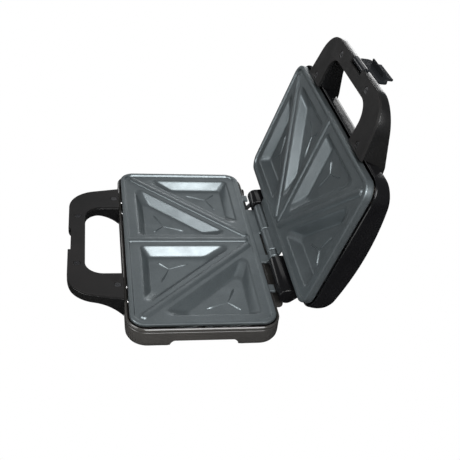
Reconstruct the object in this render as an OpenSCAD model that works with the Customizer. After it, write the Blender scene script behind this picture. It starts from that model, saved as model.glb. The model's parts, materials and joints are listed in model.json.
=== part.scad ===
// Two-slice sandwich toaster with cut-and-seal plates, drawn with its lid open.
// The work origin is the middle of the lower plate's rim plane. X runs along the
// plate, -Y points to the handles, and the hinge is at +Y. Lid pieces are drawn
// as they lie when the lid is shut, and in_lid() swings them open. The finished
// model stands on Z = 0 with the middle of its footprint at X = 0, Y = 0.

/* [Plates] */
// Length of each cast plate
plate_w = 234; // [222:1:250]
// Depth of each cast plate
plate_d = 120.5; // [116:0.5:132]
// Plan radius of the plate corners
plate_corner_r = 13; // [8:0.5:16]
// Thickness of the plate's outer flange
flange_t = 2.9; // [2.4:0.1:4]
// Thickness of the metal under the flat land
plate_t = 2.6; // [2.4:0.1:3.2]
// Width of the raised rim
rim_w = 4; // [3:0.25:5]
// Height of the rim and the ridges above the land
rim_h = 1.5; // [1:0.1:2]
// Gap between the two rims when the lid is shut
closed_gap = 0.9; // [0.6:0.1:1.4]
// Height of the upper plate's skirt
skirt_h = 6.6; // [5:0.2:8]
// Wall thickness of the upper plate's skirt
skirt_t = 2.4; // [2:0.1:3]

/* [Pockets] */
// Distance from a cutting ridge's centre line to the pocket edge
ridge_margin = 9; // [8:0.25:10]
// Land between the pocket and the plate's short side
side_margin = 12.5; // [11:0.25:15]
// Land between the pocket and the plate's front side
front_margin = 13.5; // [12:0.25:16]
// Land between the pocket and the plate's hinge side
rear_margin = 12.5; // [12:0.25:14]
// Depth of a pocket below the land
pocket_depth = 8; // [6:0.25:9]
// Radius of the fillet between pocket wall and floor
pocket_fillet = 5; // [3:0.25:6]
// How far the flat floor stays inside the pocket edge
floor_inset = 9; // [8:0.25:10]
// Metal under the pocket floor
floor_t = 2.2; // [1.8:0.1:3]
// Width of a cutting ridge on the land
ridge_w = 7.5; // [6:0.25:9]
// Width of a cutting ridge on its crest
ridge_crest_w = 5; // [3.5:0.25:6]
// Length of the long rays of the three-ray crease in a pocket
crease_l = 21; // [16:0.5:24]
// Width of a crease ray
crease_w = 1.1; // [0.8:0.1:1.6]
// Height of a crease ray
crease_h = 0.7; // [0.4:0.1:1]

/* [Hinge] */
// Distance from the plate's rear edge to the hinge axis
hinge_reach = 12.45; // [11.5:0.05:14]
// Height of the hinge axis above the lower rim
hinge_z = 1.5; // [0.5:0.1:2.5]
// Radius of the hinge barrels
barrel_r = 5; // [4.4:0.1:5.2]
// Radius of the hinge pin
hinge_pin_r = 2.5; // [2:0.1:3]
// Running clearance of a pin in its bore, on the radius
pin_clear = 0.05; // [0.03:0.01:0.09]
// Far end of the long lower knuckle
knuckle_a_x = -50; // [-54:0.5:-46]
// Joint between the long lower knuckle and the upper knuckle
knuckle_b_x = -9.25; // [-12:0.25:-6]
// Joint between the upper knuckle and the short lower knuckle
knuckle_c_x = 24.5; // [22:0.5:27]
// Near end of the short lower knuckle
knuckle_d_x = 34; // [32:0.5:37]
// Side gap between two knuckles
knuckle_gap = 0.6; // [0.4:0.1:1]
// Gap between a hinge tab and the other plate's barrel
tab_gap = 1.6; // [1.2:0.1:2.4]
// Place of the two stop lugs along the rear edge
lug_x = 72; // [66:0.5:76]
// Width of a stop lug
lug_w = 9; // [6:0.5:12]
// Angle by which the lid stands open
lid_open = 106.66; // [90:0.5:110]

/* [Base housing] */
// Gap between the plate's edge and the housing's outer face, in plan
housing_over = 3.2; // [3.2:0.1:4]
// Wall thickness of both housings
wall = 2.4; // [2:0.1:2.6]
// Plan radius of the housing corners
housing_corner_r = 18; // [15:0.5:20]
// Gap between the flange's underside and the housing's rim
rim_gap = 0.3; // [0.2:0.05:0.6]
// Height of the plastic housing below its rim
base_h = 20.6; // [19:0.2:23]
// Depth of the decorative groove in the wall
groove_r = 0.6; // [0.4:0.1:0.8]
// Distance from the housing's rim to the groove
groove_drop = 3.3; // [2.5:0.1:5]
// Thickness of the base floor
floor_plate_t = 2.2; // [1.8:0.1:2.6]
// Height of the arches between the feet
arch_h = 8.6; // [7:0.2:9]
// Height of the lower arches at the front and the back
front_arch_h = 3.9; // [3:0.1:5]
// Distance from the housing's sides to those arches' crowns
front_arch_end = 48; // [40:1:60]
// Half width of a side arch at its crown
arch_half_w = 28; // [22:0.5:30]
// Extra half width of an arch at its foot
arch_flare = 7; // [4:0.5:9]
// Fillet radius of an arch
arch_r = 5.5; // [3:0.5:6]
// Radius of a rubber foot
foot_r = 5.2; // [4:0.1:5.2]
// Depth of a rubber foot's seat
foot_seat = 1.5; // [1:0.1:2]
// Height of a rubber foot below the plastic
foot_drop = 0.6; // [0.4:0.1:2]
// Distance from the housing's faces to a foot's centre
foot_inset = 12.5; // [12.5:0.5:14]
// Radius along the lower edges of the base
base_edge_r = 7; // [3:0.5:7]
// Reach of the shelf under the hinge
shelf_reach = 9; // [6:0.5:10]

/* [Lid housing] */
// Height of the lid's rim above the upper plate's rim
lid_rim_z = 7.0; // [6.8:0.1:8.5]
// Height of the crown above the lower rim when shut
lid_crown_z = 28.4; // [27:0.2:32]
// Radius of the crown's arc, seen from the side
crown_r = 245; // [220:5:300]
// Fillet along the lid's front edge
lid_front_r = 3; // [2:0.5:4]
// Fillet along the lid's rear edge
lid_rear_r = 10; // [8:0.5:12]
// Height on the rear wall of the arms that carry the hinge covers
cover_arm_h = 9; // [7:0.5:10]
// Radius of the two hinge covers moulded on the lid
cover_r = 7; // [6:0.1:7.4]
// Inner end of the near hinge cover
cover_x0 = 42; // [40:0.5:46]
// Outer end of the near hinge cover
cover_x1 = 88; // [80:0.5:94]
// Outer end of the far hinge cover
far_cover_x1 = 74; // [72:0.5:90]

/* [Handles] */
// Reach of both handles in front of the housings
handle_reach = 47; // [42:0.5:50]
// Half width of a handle at its root
handle_root_x = 84.5; // [80:0.5:88]
// Radius of a handle's front corners
handle_corner_r = 28; // [24:0.5:30]
// Half distance between the front corner centres
handle_corner_x = 52; // [46:0.5:56]
// Half width of the finger opening
grip_half_w = 51.5; // [48:0.5:54]
// Corner radius of the finger opening
grip_r = 16; // [12:0.5:18]
// Width of the bar at the front of a handle
grip_bar_w = 15; // [14:0.5:18]
// Height of the lower handle's upper face above the rim
lower_face_z = 0.6; // [0.2:0.1:0.8]
// Gap between the two handles when shut
handle_gap = 0.6; // [0.4:0.1:1]
// Thickness of the lower handle's bar
lower_bar_h = 9.9; // [9:0.1:11]
// Radius of the lower handle's hollow underside
under_r = 36; // [30:1:40]
// Distance from the front to where that hollow starts
under_start = 21.5; // [18:0.5:23]
// Radius along the lower front edge
handle_edge_r = 4; // [2:0.5:4.5]
// Height of the upper handle at its front edge
upper_front_h = 8.7; // [8:0.1:10]
// Slope of the upper handle's outer face, in degrees
upper_slope = 17.2; // [15:0.2:18]
// Thickness of the screwed cover on each handle's inner face
cover_t = 2; // [1.6:0.1:2.4]

/* [Latch] */
// Half width of the notch that the latch turns in
notch_half_w = 14.2; // [12:0.2:16]
// Side clearance of the latch in its notch
latch_side_clear = 0.5; // [0.3:0.1:0.8]
// Distance from the handle's front to the latch pivot
pivot_inset = 1.5; // [1.3:0.1:1.8]
// Height of the latch pivot above the lower rim
pivot_z = 5.2; // [4.9:0.1:5.5]
// Radius of the latch's hub
hub_r = 3; // [2.8:0.1:3.2]
// Radius of the latch pin
latch_pin_r = 1.3; // [1:0.1:1.5]
// Half width of the latch's finger flap
flap_half_w = 23.8; // [20:0.2:26]
// Thickness of the flap
flap_t = 2.4; // [2:0.1:2.6]
// Gap between the flap and the lower handle's front
flap_gap = 0.7; // [0.5:0.1:0.9]
// Distance from the pivot to the flap's shoulders
shoulder_s = 6; // [5.8:0.1:7]
// Thickness of the hook
hook_t = 2.7; // [2.2:0.1:3.2]
// Gap between the hook and the lower handle's underside
hook_gap = 0.5; // [0.4:0.1:0.8]
// Length of the finger tab beyond the hook
tab_l = 7.2; // [5:0.2:9]
// Half width of the catch notch in the lower handle
catch_half_w = 16.5; // [15:0.5:18]
// Depth of the catch notch
catch_depth = 2.3; // [1.6:0.1:2.6]
// Angle that the latch turns from folded out to latched
latch_travel = 168.3; // [160:0.5:170]

/* [Heating] */
// Radius of the heating element's tube
element_r = 3.3; // [3:0.1:3.6]
// Bend radius of the element's corners
element_bend_r = 8; // [7:0.5:10]
// Distance from the plate's front edge to the element's front run
element_front = 8.2; // [8:0.1:8.6]
// Clearance of the element under the plate
element_clear = 0.2; // [0.1:0.05:0.3]
// Thickness of the straps that hold the element
strap_t = 0.8; // [0.6:0.1:1]
// Width of an element strap
strap_w = 9; // [7:0.5:12]
// Width of a strap's flanges
strap_flange = 3; // [2:0.5:4]
// Thickness of the reflector sheets
sheet_t = 0.6; // [0.5:0.1:0.8]
// Radius of a thermostat's disc
thermostat_r = 7.4; // [6.5:0.1:7.8]
// Height of a thermostat
thermostat_h = 6.4; // [5:0.1:7]

/* [Fasteners and fittings] */
// Radius of the cast posts under a plate
post_r = 3.4; // [3.2:0.1:3.8]
// Radius of the screw shanks
screw_r = 1.5; // [1.2:0.1:1.6]
// Radius of the screw heads
screw_head_r = 2.8; // [2.5:0.1:2.9]
// Height of the screw heads
screw_head_h = 1.8; // [1.4:0.1:2]
// Clearance round a screw head, on the radius
head_clear = 0.4; // [0.3:0.05:0.5]
// Inner radius of the cord gland
gland_bore_r = 3.6; // [3:0.1:3.8]
// Outer radius of the cord gland's sleeve
gland_r = 4.9; // [4.8:0.1:5.2]
// Outer radius of the cord gland's collar
collar_r = 5.6; // [5.4:0.1:5.8]
// Distance from the housing's far side to the cord gland
gland_side = 28.2; // [27:0.1:30]
// Radius of an indicator lens
lens_r = 4; // [3:0.1:5]
// Half distance between the two indicator lenses
lens_x = 9; // [7:0.5:12]
// Distance from the lid's front to the lenses
lens_y = 33; // [30:0.5:40]
// Outer radius of the lead sleeve at the hinge
sleeve_r = 2; // [1.6:0.1:2.2]
// Place of the lead sleeve along the hinge axis
sleeve_x = -65; // [-70:0.5:-60]

/* [Hidden] */

fine = 64;         // facets of a full turn on visible rounds
hull_fn = 24;      // facets of the spheres inside a hull
seat = 0.2;        // gap of a dry seat between two pieces
eps = 0.02;        // overlap that fuses the shapes inside one piece
past = 1;          // how far a cutting shape runs past a face
through = 60;      // length of a cut that passes right through
screw_play = 0.25; // how much thinner a screw is than its nominal radius
self_tap = 0.1;    // how much narrower than the screw a tapped hole is

// Plates
hx = plate_w / 2;
hy = plate_d / 2;
land_z = -rim_h;
slab_z = land_z - plate_t;
pocket_z = land_z - pocket_depth;
bulge_z = pocket_z - floor_t;
element_z = slab_z - element_clear - element_r;
strap_low_z = element_z - element_r - element_clear - strap_t;
post_z = min(bulge_z, strap_low_z) - 0.3;
slab_inset = 3;

// The cutting ridge runs from a front corner to the middle of the rear edge
diag_len = norm([hx, plate_d]);
diag_n = [plate_d, hx] / diag_len;
diag_c = diag_n * [0, hy];
front_edge = -hy + front_margin;
rear_edge = hy - rear_margin;
side_edge = hx - side_margin;
c_lim = diag_c - ridge_margin;
d_lim = diag_c + ridge_margin;
front_pocket = [
    [ridge_margin, front_edge],
    [(c_lim - diag_n[1] * front_edge) / diag_n[0], front_edge],
    [ridge_margin, (c_lim - diag_n[0] * ridge_margin) / diag_n[1]]];
rear_pocket = [
    [side_edge, (d_lim - diag_n[0] * side_edge) / diag_n[1]],
    [side_edge, rear_edge],
    [(d_lim - diag_n[1] * rear_edge) / diag_n[0], rear_edge]];

// Ridges and element, measured along the diagonal from the rear edge's middle
along_diag = [hx, -plate_d] / diag_len;
ridge_first = 12;
ridge_stop = 16.5;
centre_stop = 9.75;
element_y = -hy + element_front;
element_end = [0, hy] + along_diag * 17;
element_corner = [(diag_c - diag_n[1] * element_y) / diag_n[0], element_y];
element_turn = 180 - acos(along_diag[0]);
bend_len = element_bend_r * tan(element_turn / 2);
strap_first = 40;
strap_step = 38;

// Housings
house_w = plate_w + 2 * housing_over;
house_d = plate_d + 2 * housing_over;
wx = house_w / 2;
wy = house_d / 2;
base_rim_z = -flange_t - rim_gap;
base_foot_z = base_rim_z - base_h;
arch_z = base_foot_z + arch_h;
floor_top_z = post_z - sheet_t - 2;
floor_low_z = floor_top_z - floor_plate_t;
socket_r = screw_head_r + head_clear;
boss_t = 1.3;
gland_z = base_rim_z - wall / 2 - collar_r + 0.4;
gland_x = -wx + gland_side;
gland_ring_r = gland_r + 0.6;
gland_ring_t = 2.4;
shelf_z = base_rim_z - groove_drop - groove_r - 0.3;
shelf_corner_r = 5;
block_w = 30;
block_d = 8.5;
block_x = -hx + 47;
rest_z = base_foot_z - foot_drop;
lid_rim = closed_gap + lid_rim_z;
crown_y = 1;
crown_c = lid_crown_z - crown_r;
lens_spot_y = -wy + lens_y;
lid_lens_z = crown_c + sqrt(crown_r * crown_r - pow(lens_spot_y - crown_y, 2));

// Hinge and handles
hinge_y = hy + hinge_reach;
tab_y = hinge_y - barrel_r - tab_gap;
tab_in = 0.4;
far_cover_x = knuckle_a_x - 1.5;
front_y = -wy - handle_reach;
corner_y = front_y + handle_corner_r;
grip_y = front_y + grip_bar_w + grip_r;
grip_x = grip_half_w - grip_r;
upper_face_z = lower_face_z + handle_gap;
lower_under_z = lower_face_z - lower_bar_h;
screw_spots = [[67, -wy - 4.8], [36.6, front_y + 8.2]];
bolt_spots = [57, 76];
bolt_z_low = lower_face_z - cover_t - 9.5;
bolt_z_up = upper_face_z + cover_t + 10.5;
bolt_l = 9;
cover_screw_l = 6;
cover_seat = 0.8;
upper_front_z = closed_gap + upper_front_h;
upper_rise = tan(upper_slope);
upper_root_z = upper_front_z + handle_reach * upper_rise;
sleeve_out_z = base_rim_z - 6.5;
sleeve_dir = [hinge_y - wy, hinge_z - sleeve_out_z];
plate_posts = [[0, front_edge + 7], [side_edge + 5, 0], [-side_edge - 5, 0],
    [40, rear_edge + 4.6], [-40, rear_edge + 4.6]];

// Latch
pivot_y = front_y + pivot_inset;
flap_in = pivot_inset + flap_gap;
flap_out = flap_in + flap_t;
hook_s = pivot_z - lower_under_z + hook_gap;
tip_s = hook_s + hook_t + tab_l;
notch_back_y = pivot_y + hub_r + 0.8;
latch_pin_end = notch_half_w + 4.8;
hub_w = notch_half_w - latch_side_clear;
hook_w = catch_half_w - 1.5;
tab_w = flap_half_w * 0.62;

// Where a point of the shut lid goes when the lid is open
function open_y(p) = hinge_y + (p[0] - hinge_y) * cos(lid_open)
    + (p[1] - hinge_z) * sin(lid_open);
// Where a point of the latched lever goes when the latch is folded out
function out_point(p) = [
    pivot_y + p[0] * cos(latch_travel) + p[1] * sin(latch_travel),
    pivot_z - p[0] * sin(latch_travel) + p[1] * cos(latch_travel)];
tip_c = out_point([-flap_out + flap_t / 2, -tip_s + flap_t / 2]);
back_y = open_y(tip_c) + flap_t / 2;
mid_y = (front_y + back_y) / 2;

module in_base() {
    translate([0, -mid_y, -rest_z]) children();
}

module in_lid() {
    in_base() translate([0, hinge_y, hinge_z]) rotate([-lid_open, 0, 0])
        translate([0, -hinge_y, -hinge_z]) children();
}

module in_latch() {
    in_lid() translate([0, pivot_y, pivot_z]) rotate([-latch_travel, 0, 0])
        children();
}

// Draws its children as they are and mirrored about the middle plane
module both_sides() {
    children();
    mirror([1, 0, 0]) children();
}

// Lays a profile of (Y, Z) points along X from x0 to x1
module along_x(x0, x1) {
    translate([x0, 0, 0]) rotate([90, 0, 90]) linear_extrude(x1 - x0) children();
}

module rod_x(x0, x1, r) {
    translate([x0, 0, 0]) rotate([0, 90, 0]) cylinder(h = x1 - x0, r = r, $fn = fine);
}

module rounded_rect(w, d, r) {
    square([w - 2 * r, d], center = true);
    square([w, d - 2 * r], center = true);
    for (x = [-1, 1], y = [-1, 1])
        translate([x * (w / 2 - r), y * (d / 2 - r)]) circle(r, $fn = fine);
}

module slab(w, d, r, z0, z1) {
    translate([0, 0, z0]) linear_extrude(z1 - z0) rounded_rect(w, d, r);
}

// A round bead that follows a rounded rectangle
module bead(w, d, r, bead_r, z) {
    translate([0, 0, z]) {
        for (y = [-1, 1]) translate([0, y * d / 2, 0])
            rod_x(-w / 2 + r, w / 2 - r, bead_r);
        for (x = [-1, 1]) translate([x * w / 2, 0, 0]) rotate([0, 0, 90])
            rod_x(-d / 2 + r, d / 2 - r, bead_r);
        for (i = [0:3]) {
            x = (i == 0 || i == 3) ? 1 : -1;
            y = i < 2 ? 1 : -1;
            translate([x * (w / 2 - r), y * (d / 2 - r), 0]) rotate([0, 0, 90 * i])
                rotate_extrude(angle = 90, $fn = fine)
                translate([r, 0]) circle(bead_r, $fn = fine);
        }
    }
}

function arc(c, r, a0, a1, n) =
    [for (i = [0:n]) c + r * [cos(a0 + (a1 - a0) * i / n), sin(a0 + (a1 - a0) * i / n)]];

function bearing(v) = atan2(v[1], v[0]);

// ---- Cast plates ---------------------------------------------------------

function side(p, i) = norm(p[(i + 1) % 3] - p[(i + 2) % 3]);
function incentre(p) = (p[0] * side(p, 0) + p[1] * side(p, 1) + p[2] * side(p, 2))
    / (side(p, 0) + side(p, 1) + side(p, 2));
function inradius(p) = abs(cross(p[1] - p[0], p[2] - p[0]))
    / (side(p, 0) + side(p, 1) + side(p, 2));
// A triangle moved inwards by d stays similar about its incentre
function shrink(p, d) = [for (v = p)
    incentre(p) + (v - incentre(p)) * (1 - d / inradius(p))];

module rounded_triangle(p, r) {
    q = shrink(p, r);
    polygon(q);
    for (i = [0:2]) {
        a = q[i];
        b = q[(i + 1) % 3];
        away = (a + b) / 2 - incentre(p);
        n = [b[1] - a[1], a[0] - b[0]] / norm(b - a);
        out = n * away > 0 ? n : -n;
        polygon([a, b, b + out * r, a + out * r]);
        translate(a) circle(r, $fn = fine);
    }
}

// The hollow of one pocket: sloping walls that turn into the floor by a fillet
module pocket_hollow(p) {
    top = shrink(p, pocket_fillet);
    low = shrink(p, floor_inset);
    hull() {
        for (v = top) translate([v[0], v[1], land_z])
            cylinder(h = rim_h + past, r = pocket_fillet, $fn = hull_fn);
        for (v = low) translate([v[0], v[1], pocket_z + pocket_fillet])
            sphere(pocket_fillet, $fn = hull_fn);
    }
}

// Three thin rays that mark where the pocket is folded
module crease(p) {
    c = incentre(p);
    for (v = p) {
        square_corner = norm(v - c) < 1.6 * inradius(p);
        len = square_corner ? crease_l * 2 / 3 : crease_l;
        translate([c[0], c[1], pocket_z - floor_t / 2]) rotate([0, 0, bearing(v - c)])
            translate([0, -crease_w / 2, 0])
            cube([len, crease_w, floor_t / 2 + crease_h]);
    }
}

// A cutting ridge between two points, with sloping flanks and round ends
module ridge(a, b) {
    translate([a[0], a[1], land_z - eps]) rotate([0, 0, bearing(b - a)]) {
        rotate([90, 0, 90]) linear_extrude(norm(b - a)) polygon([
            [-ridge_w / 2, 0], [ridge_w / 2, 0],
            [ridge_crest_w / 2, rim_h + eps], [-ridge_crest_w / 2, rim_h + eps]]);
        for (x = [0, norm(b - a)]) translate([x, 0, 0])
            cylinder(h = rim_h + eps, r1 = ridge_w / 2, r2 = ridge_crest_w / 2, $fn = fine);
    }
}

module ridges() {
    ridge([0, -hy + rim_w - eps], [0, hy - centre_stop]);
    both_sides() ridge([0, hy] + along_diag * ridge_first, [hx, -hy] - along_diag * ridge_stop);
}

// The casting without its hinge knuckles, rim up
module plate_casting() {
    difference() {
        union() {
            slab(plate_w, plate_d, plate_corner_r, -flange_t, 0);
            slab(plate_w - 2 * slab_inset, plate_d - 2 * slab_inset,
                plate_corner_r - slab_inset, slab_z, -rim_h);
            both_sides() for (p = [front_pocket, rear_pocket])
                translate([0, 0, bulge_z]) linear_extrude(slab_z - bulge_z + eps)
                rounded_triangle(p, pocket_fillet);
            for (p = plate_posts) translate([p[0], p[1], post_z])
                cylinder(h = slab_z - post_z + eps, r = post_r, $fn = fine);
        }
        slab(plate_w - 2 * rim_w, plate_d - 2 * rim_w, plate_corner_r - rim_w,
            land_z, past);
        both_sides() for (p = [front_pocket, rear_pocket]) pocket_hollow(p);
        for (p = plate_posts) translate([p[0], p[1], post_z - past])
            cylinder(h = slab_z - post_z + past, r = screw_r - self_tap, $fn = fine);
    }
    ridges();
    both_sides() for (p = [front_pocket, rear_pocket]) crease(p);
}

// A web from the plate's rear edge to the hinge barrel, in (Y, Z): it's flat on
// one side, and on the far side it runs off the barrel
module knuckle_profile(flat_z, far_z) {
    c = [hinge_y, hinge_z];
    far = [hy - 1, far_z];
    turn = acos(barrel_r / norm(far - c));
    a = bearing(far - c) + (far_z < flat_z ? turn : -turn);
    polygon([[hy - 1, flat_z], [hinge_y, flat_z], c + barrel_r * [cos(a), sin(a)], far]);
    translate(c) circle(barrel_r, $fn = fine);
}

module knuckle(x0, x1, flat_z, far_z, bore_x0, bore_x1) {
    difference() {
        along_x(x0, x1) knuckle_profile(flat_z, far_z);
        translate([0, hinge_y, hinge_z])
            rod_x(bore_x0, bore_x1, hinge_pin_r + pin_clear);
    }
}

// A tab along the plate's rear edge that joins its knuckles
module hinge_tab(z0, z1) {
    translate([knuckle_a_x + 0.5, hy - 1, z0])
        cube([knuckle_d_x - knuckle_a_x + 1.5, tab_y - hy + 1, z1 - z0]);
}

// Small stop lugs on the lower plate's rear edge
module stop_lug() {
    lug_end = hinge_y - cover_r - 0.6;
    translate([lug_x - lug_w / 2, hy - 1, 0.2 - flange_t])
        cube([lug_w, lug_end - hy + 1, flange_t - 0.8]);
}

module lower_plate() {
    g = knuckle_gap / 2;
    color([0.27, 0.28, 0.28]) in_base() {
        plate_casting();
        knuckle(knuckle_a_x, knuckle_b_x - g, -0.2, 0.2 - flange_t, knuckle_a_x + 2,
            knuckle_b_x);
        knuckle(knuckle_c_x + g, knuckle_d_x, -0.2, 0.2 - flange_t, knuckle_c_x,
            knuckle_d_x + past);
        hinge_tab(tab_in - flange_t, -tab_in);
        both_sides() stop_lug();
    }
}

module upper_plate() {
    g = knuckle_gap / 2;
    color([0.27, 0.28, 0.28]) in_lid() {
        translate([0, 0, closed_gap]) mirror([0, 0, 1]) {
            plate_casting();
            difference() {
                slab(plate_w, plate_d, plate_corner_r, -skirt_h, -flange_t + eps);
                slab(plate_w - 2 * skirt_t, plate_d - 2 * skirt_t,
                    plate_corner_r - skirt_t, -skirt_h - past, past);
            }
        }
        knuckle(knuckle_b_x + g, knuckle_c_x - g, closed_gap + 0.2, closed_gap + flange_t,
            knuckle_b_x - past, knuckle_c_x + past);
        hinge_tab(closed_gap + tab_in, closed_gap + flange_t - tab_in);
    }
}

// ---- Heating -------------------------------------------------------------

// One half of the tube: down the diagonal, round the corner, to the middle
module element_half() {
    bend_start = element_corner - along_diag * bend_len;
    run = norm(bend_start - element_end);
    translate([element_end[0], element_end[1], element_z])
        rotate([0, 0, bearing(along_diag)]) rod_x(0, run, element_r);
    bend_c = [element_corner[0] - bend_len, element_y + element_bend_r];
    translate([bend_c[0], bend_c[1], element_z]) rotate([0, 0, -90])
        rotate_extrude(angle = element_turn, $fn = fine)
        translate([element_bend_r, 0]) circle(element_r, $fn = fine);
    translate([0, element_y, element_z]) rod_x(-eps, bend_c[0], element_r);
    // the rounded end and its connecting pin
    translate([element_end[0], element_end[1], element_z]) {
        sphere(element_r, $fn = fine);
        rotate([-90, 0, 0])
            cylinder(h = hy - rim_w - element_end[1], r = element_r * 0.45, $fn = fine);
    }
}

module element_tube() {
    both_sides() element_half();
}

// An omega-shaped strap across the tube, flanges against the plate
module strap() {
    hump = element_r + element_clear;
    side = hump + strap_t;
    drop = slab_z - element_z;
    seat_h = drop - element_clear / 2;
    translate([0, 0, element_z]) along_x(-strap_w / 2, strap_w / 2) difference() {
        union() {
            circle(side, $fn = fine);
            translate([-side, 0]) square([2 * side, seat_h]);
            translate([-side - strap_flange, seat_h - strap_t])
                square([2 * (side + strap_flange), strap_t]);
        }
        circle(hump, $fn = fine);
        translate([-hump, 0]) square([2 * hump, drop + past]);
    }
}

module straps() {
    both_sides() translate([0, hy, 0]) rotate([0, 0, bearing(along_diag)])
        for (i = [0:2]) translate([strap_first + i * strap_step, 0, 0]) strap();
}

// A sheet behind the plate, resting on the posts
module reflector_sheet() {
    difference() {
        slab(plate_w - 14, plate_d - 11, plate_corner_r - 4, post_z - sheet_t, post_z);
        for (p = plate_posts) translate([p[0], p[1], post_z - sheet_t - past])
            cylinder(h = sheet_t + 2 * past, r = screw_r + 0.2, $fn = fine);
        translate([block_x - block_w / 2 - 2, rear_edge + 0.8, post_z - sheet_t - past])
            cube([block_w + 4, rear_margin, sheet_t + 2 * past]);
    }
}

module thermostat_can() {
    top = slab_z - seat;
    translate([0, -4, top - thermostat_h]) {
        cylinder(h = thermostat_h, r = thermostat_r, $fn = fine);
        for (x = [-1, 1]) translate([x * 3.4 - 1.5, thermostat_r - 2, 1])
            cube([3, 8, 0.8]);
    }
}

module lower_element() {
    color([0.5, 0.47, 0.44]) in_base() element_tube();
}

module upper_element() {
    color([0.5, 0.47, 0.44]) in_lid() translate([0, 0, closed_gap])
        mirror([0, 0, 1]) element_tube();
}

module lower_element_straps() {
    color([0.72, 0.72, 0.7]) in_base() straps();
}

module upper_element_straps() {
    color([0.72, 0.72, 0.7]) in_lid() translate([0, 0, closed_gap])
        mirror([0, 0, 1]) straps();
}

module lower_reflector() {
    color([0.8, 0.8, 0.79]) in_base() reflector_sheet();
}

module upper_reflector() {
    color([0.8, 0.8, 0.79]) in_lid() translate([0, 0, closed_gap])
        mirror([0, 0, 1]) reflector_sheet();
}

module lower_thermostat() {
    color([0.85, 0.83, 0.78]) in_base() thermostat_can();
}

module upper_thermostat() {
    color([0.85, 0.83, 0.78]) in_lid() translate([0, 0, closed_gap])
        mirror([0, 0, 1]) thermostat_can();
}

module thermal_fuse() {
    fuse_r = 2.4;
    fuse_l = 12;
    lead_r = 0.6;
    lead_l = 5;
    color([0.75, 0.72, 0.66]) in_base()
        translate([0, 20, slab_z - seat - fuse_r]) rotate([-90, 0, 0]) {
            cylinder(h = fuse_l, r = fuse_r, $fn = fine);
            translate([0, 0, -lead_l]) cylinder(h = fuse_l + 2 * lead_l, r = lead_r, $fn = fine);
        }
}

// Three-way terminal block on the floor, behind the rear pocket
module terminal_block() {
    block_h = 8;
    way = 9.5;
    way_z = 3.2;
    groove_w = 1.2;
    color([0.87, 0.86, 0.82]) in_base()
        translate([block_x, rear_edge + 1.8 + block_d / 2, floor_top_z]) difference() {
            translate([-block_w / 2, -block_d / 2, 0]) cube([block_w, block_d, block_h]);
            for (x = [-way, 0, way]) translate([x, 0, way_z]) {
                cylinder(h = block_h, r = 2, $fn = fine);
                rotate([90, 0, 0])
                    cylinder(h = 2 * block_d, r = 1.5, center = true, $fn = fine);
            }
            for (x = [-1, 1]) translate([(x * way - groove_w) / 2, -block_d, 5.5])
                cube([groove_w, 2 * block_d, block_h]);
        }
}

// ---- Base housing --------------------------------------------------------

// The opening between two feet, in (width, height), measured from the crown
module arch(half_w, h) {
    for (x = [-1, 1]) translate([x * (half_w - arch_r), -arch_r])
        circle(arch_r, $fn = fine);
    polygon([[-half_w + arch_r, 0], [half_w - arch_r, 0], [half_w, -arch_r],
        [half_w + arch_flare, -h - past], [-half_w - arch_flare, -h - past],
        [-half_w, -arch_r]]);
}

module foot_spots() {
    for (x = [-1, 1], y = [-1, 1])
        translate([x * (wx - foot_inset), y * (wy - foot_inset), 0]) children();
}

// Half of the base's outer section, rounded along its lower edges
module base_profile(w) {
    r = base_edge_r;
    translate([-w, base_foot_z + r]) square([2 * w, through]);
    translate([-w + r, base_foot_z]) square([2 * (w - r), through]);
    for (s = [-1, 1]) translate([s * (w - r), base_foot_z + r]) circle(r, $fn = fine);
}

// The shelf on the rear wall under the hinge
module hinge_shelf() {
    x0 = knuckle_a_x;
    y1 = wy + shelf_reach - wall / 2;
    translate([0, 0, shelf_z - wall]) linear_extrude(wall) {
        translate([x0, wy - wall / 2]) square([cover_x1 - x0, y1 - wy + wall / 2 - shelf_corner_r]);
        translate([x0 + shelf_corner_r, wy - wall / 2])
            square([cover_x1 - x0 - 2 * shelf_corner_r, y1 - wy + wall / 2]);
        for (x = [x0 + shelf_corner_r, cover_x1 - shelf_corner_r])
            translate([x, y1 - shelf_corner_r]) circle(shelf_corner_r, $fn = fine);
    }
}

module base_shell() {
    lip_r = wall / 2;
    skirt_top = base_rim_z - lip_r;
    hinge_shelf();
    difference() {
        union() {
            intersection() {
                slab(house_w, house_d, housing_corner_r, base_foot_z, skirt_top);
                along_x(-house_w, house_w) base_profile(wy);
                rotate([0, 0, 90]) along_x(-house_w, house_w) base_profile(wx);
            }
            bead(house_w - wall, house_d - wall, housing_corner_r - lip_r, lip_r, skirt_top);
        }
        slab(house_w - 2 * wall, house_d - 2 * wall, housing_corner_r - wall,
            floor_top_z, past);
        difference() {
            slab(house_w - 2 * wall, house_d - 2 * wall, housing_corner_r - wall,
                base_foot_z - past, floor_low_z);
            foot_blocks();
        }
        bead(house_w, house_d, housing_corner_r, groove_r, base_rim_z - groove_drop);
        for (x = [-1, 1]) translate([x * wx, 0, arch_z]) rotate([90, 0, 90])
            linear_extrude(2 * wall, center = true) arch(arch_half_w, arch_h);
        for (y = [-1, 1]) translate([0, y * wy, base_foot_z + front_arch_h])
            rotate([90, 0, 0]) linear_extrude(2 * wall, center = true)
            arch(wx - front_arch_end, front_arch_h);
    }
    // the floor runs on behind the arches
    slab(house_w - 2 * wall + eps, house_d - 2 * wall + eps, housing_corner_r - wall,
        floor_low_z, floor_top_z);
}

// Solid corners that carry the rubber feet
module foot_blocks() {
    block = 2 * foot_inset + 3;
    for (x = [-1, 1], y = [-1, 1])
        translate([x * (wx - block / 2), y * (wy - block / 2), (base_foot_z + floor_low_z) / 2])
        cube([block, block, floor_low_z - base_foot_z + 2 * eps], center = true);
}

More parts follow.
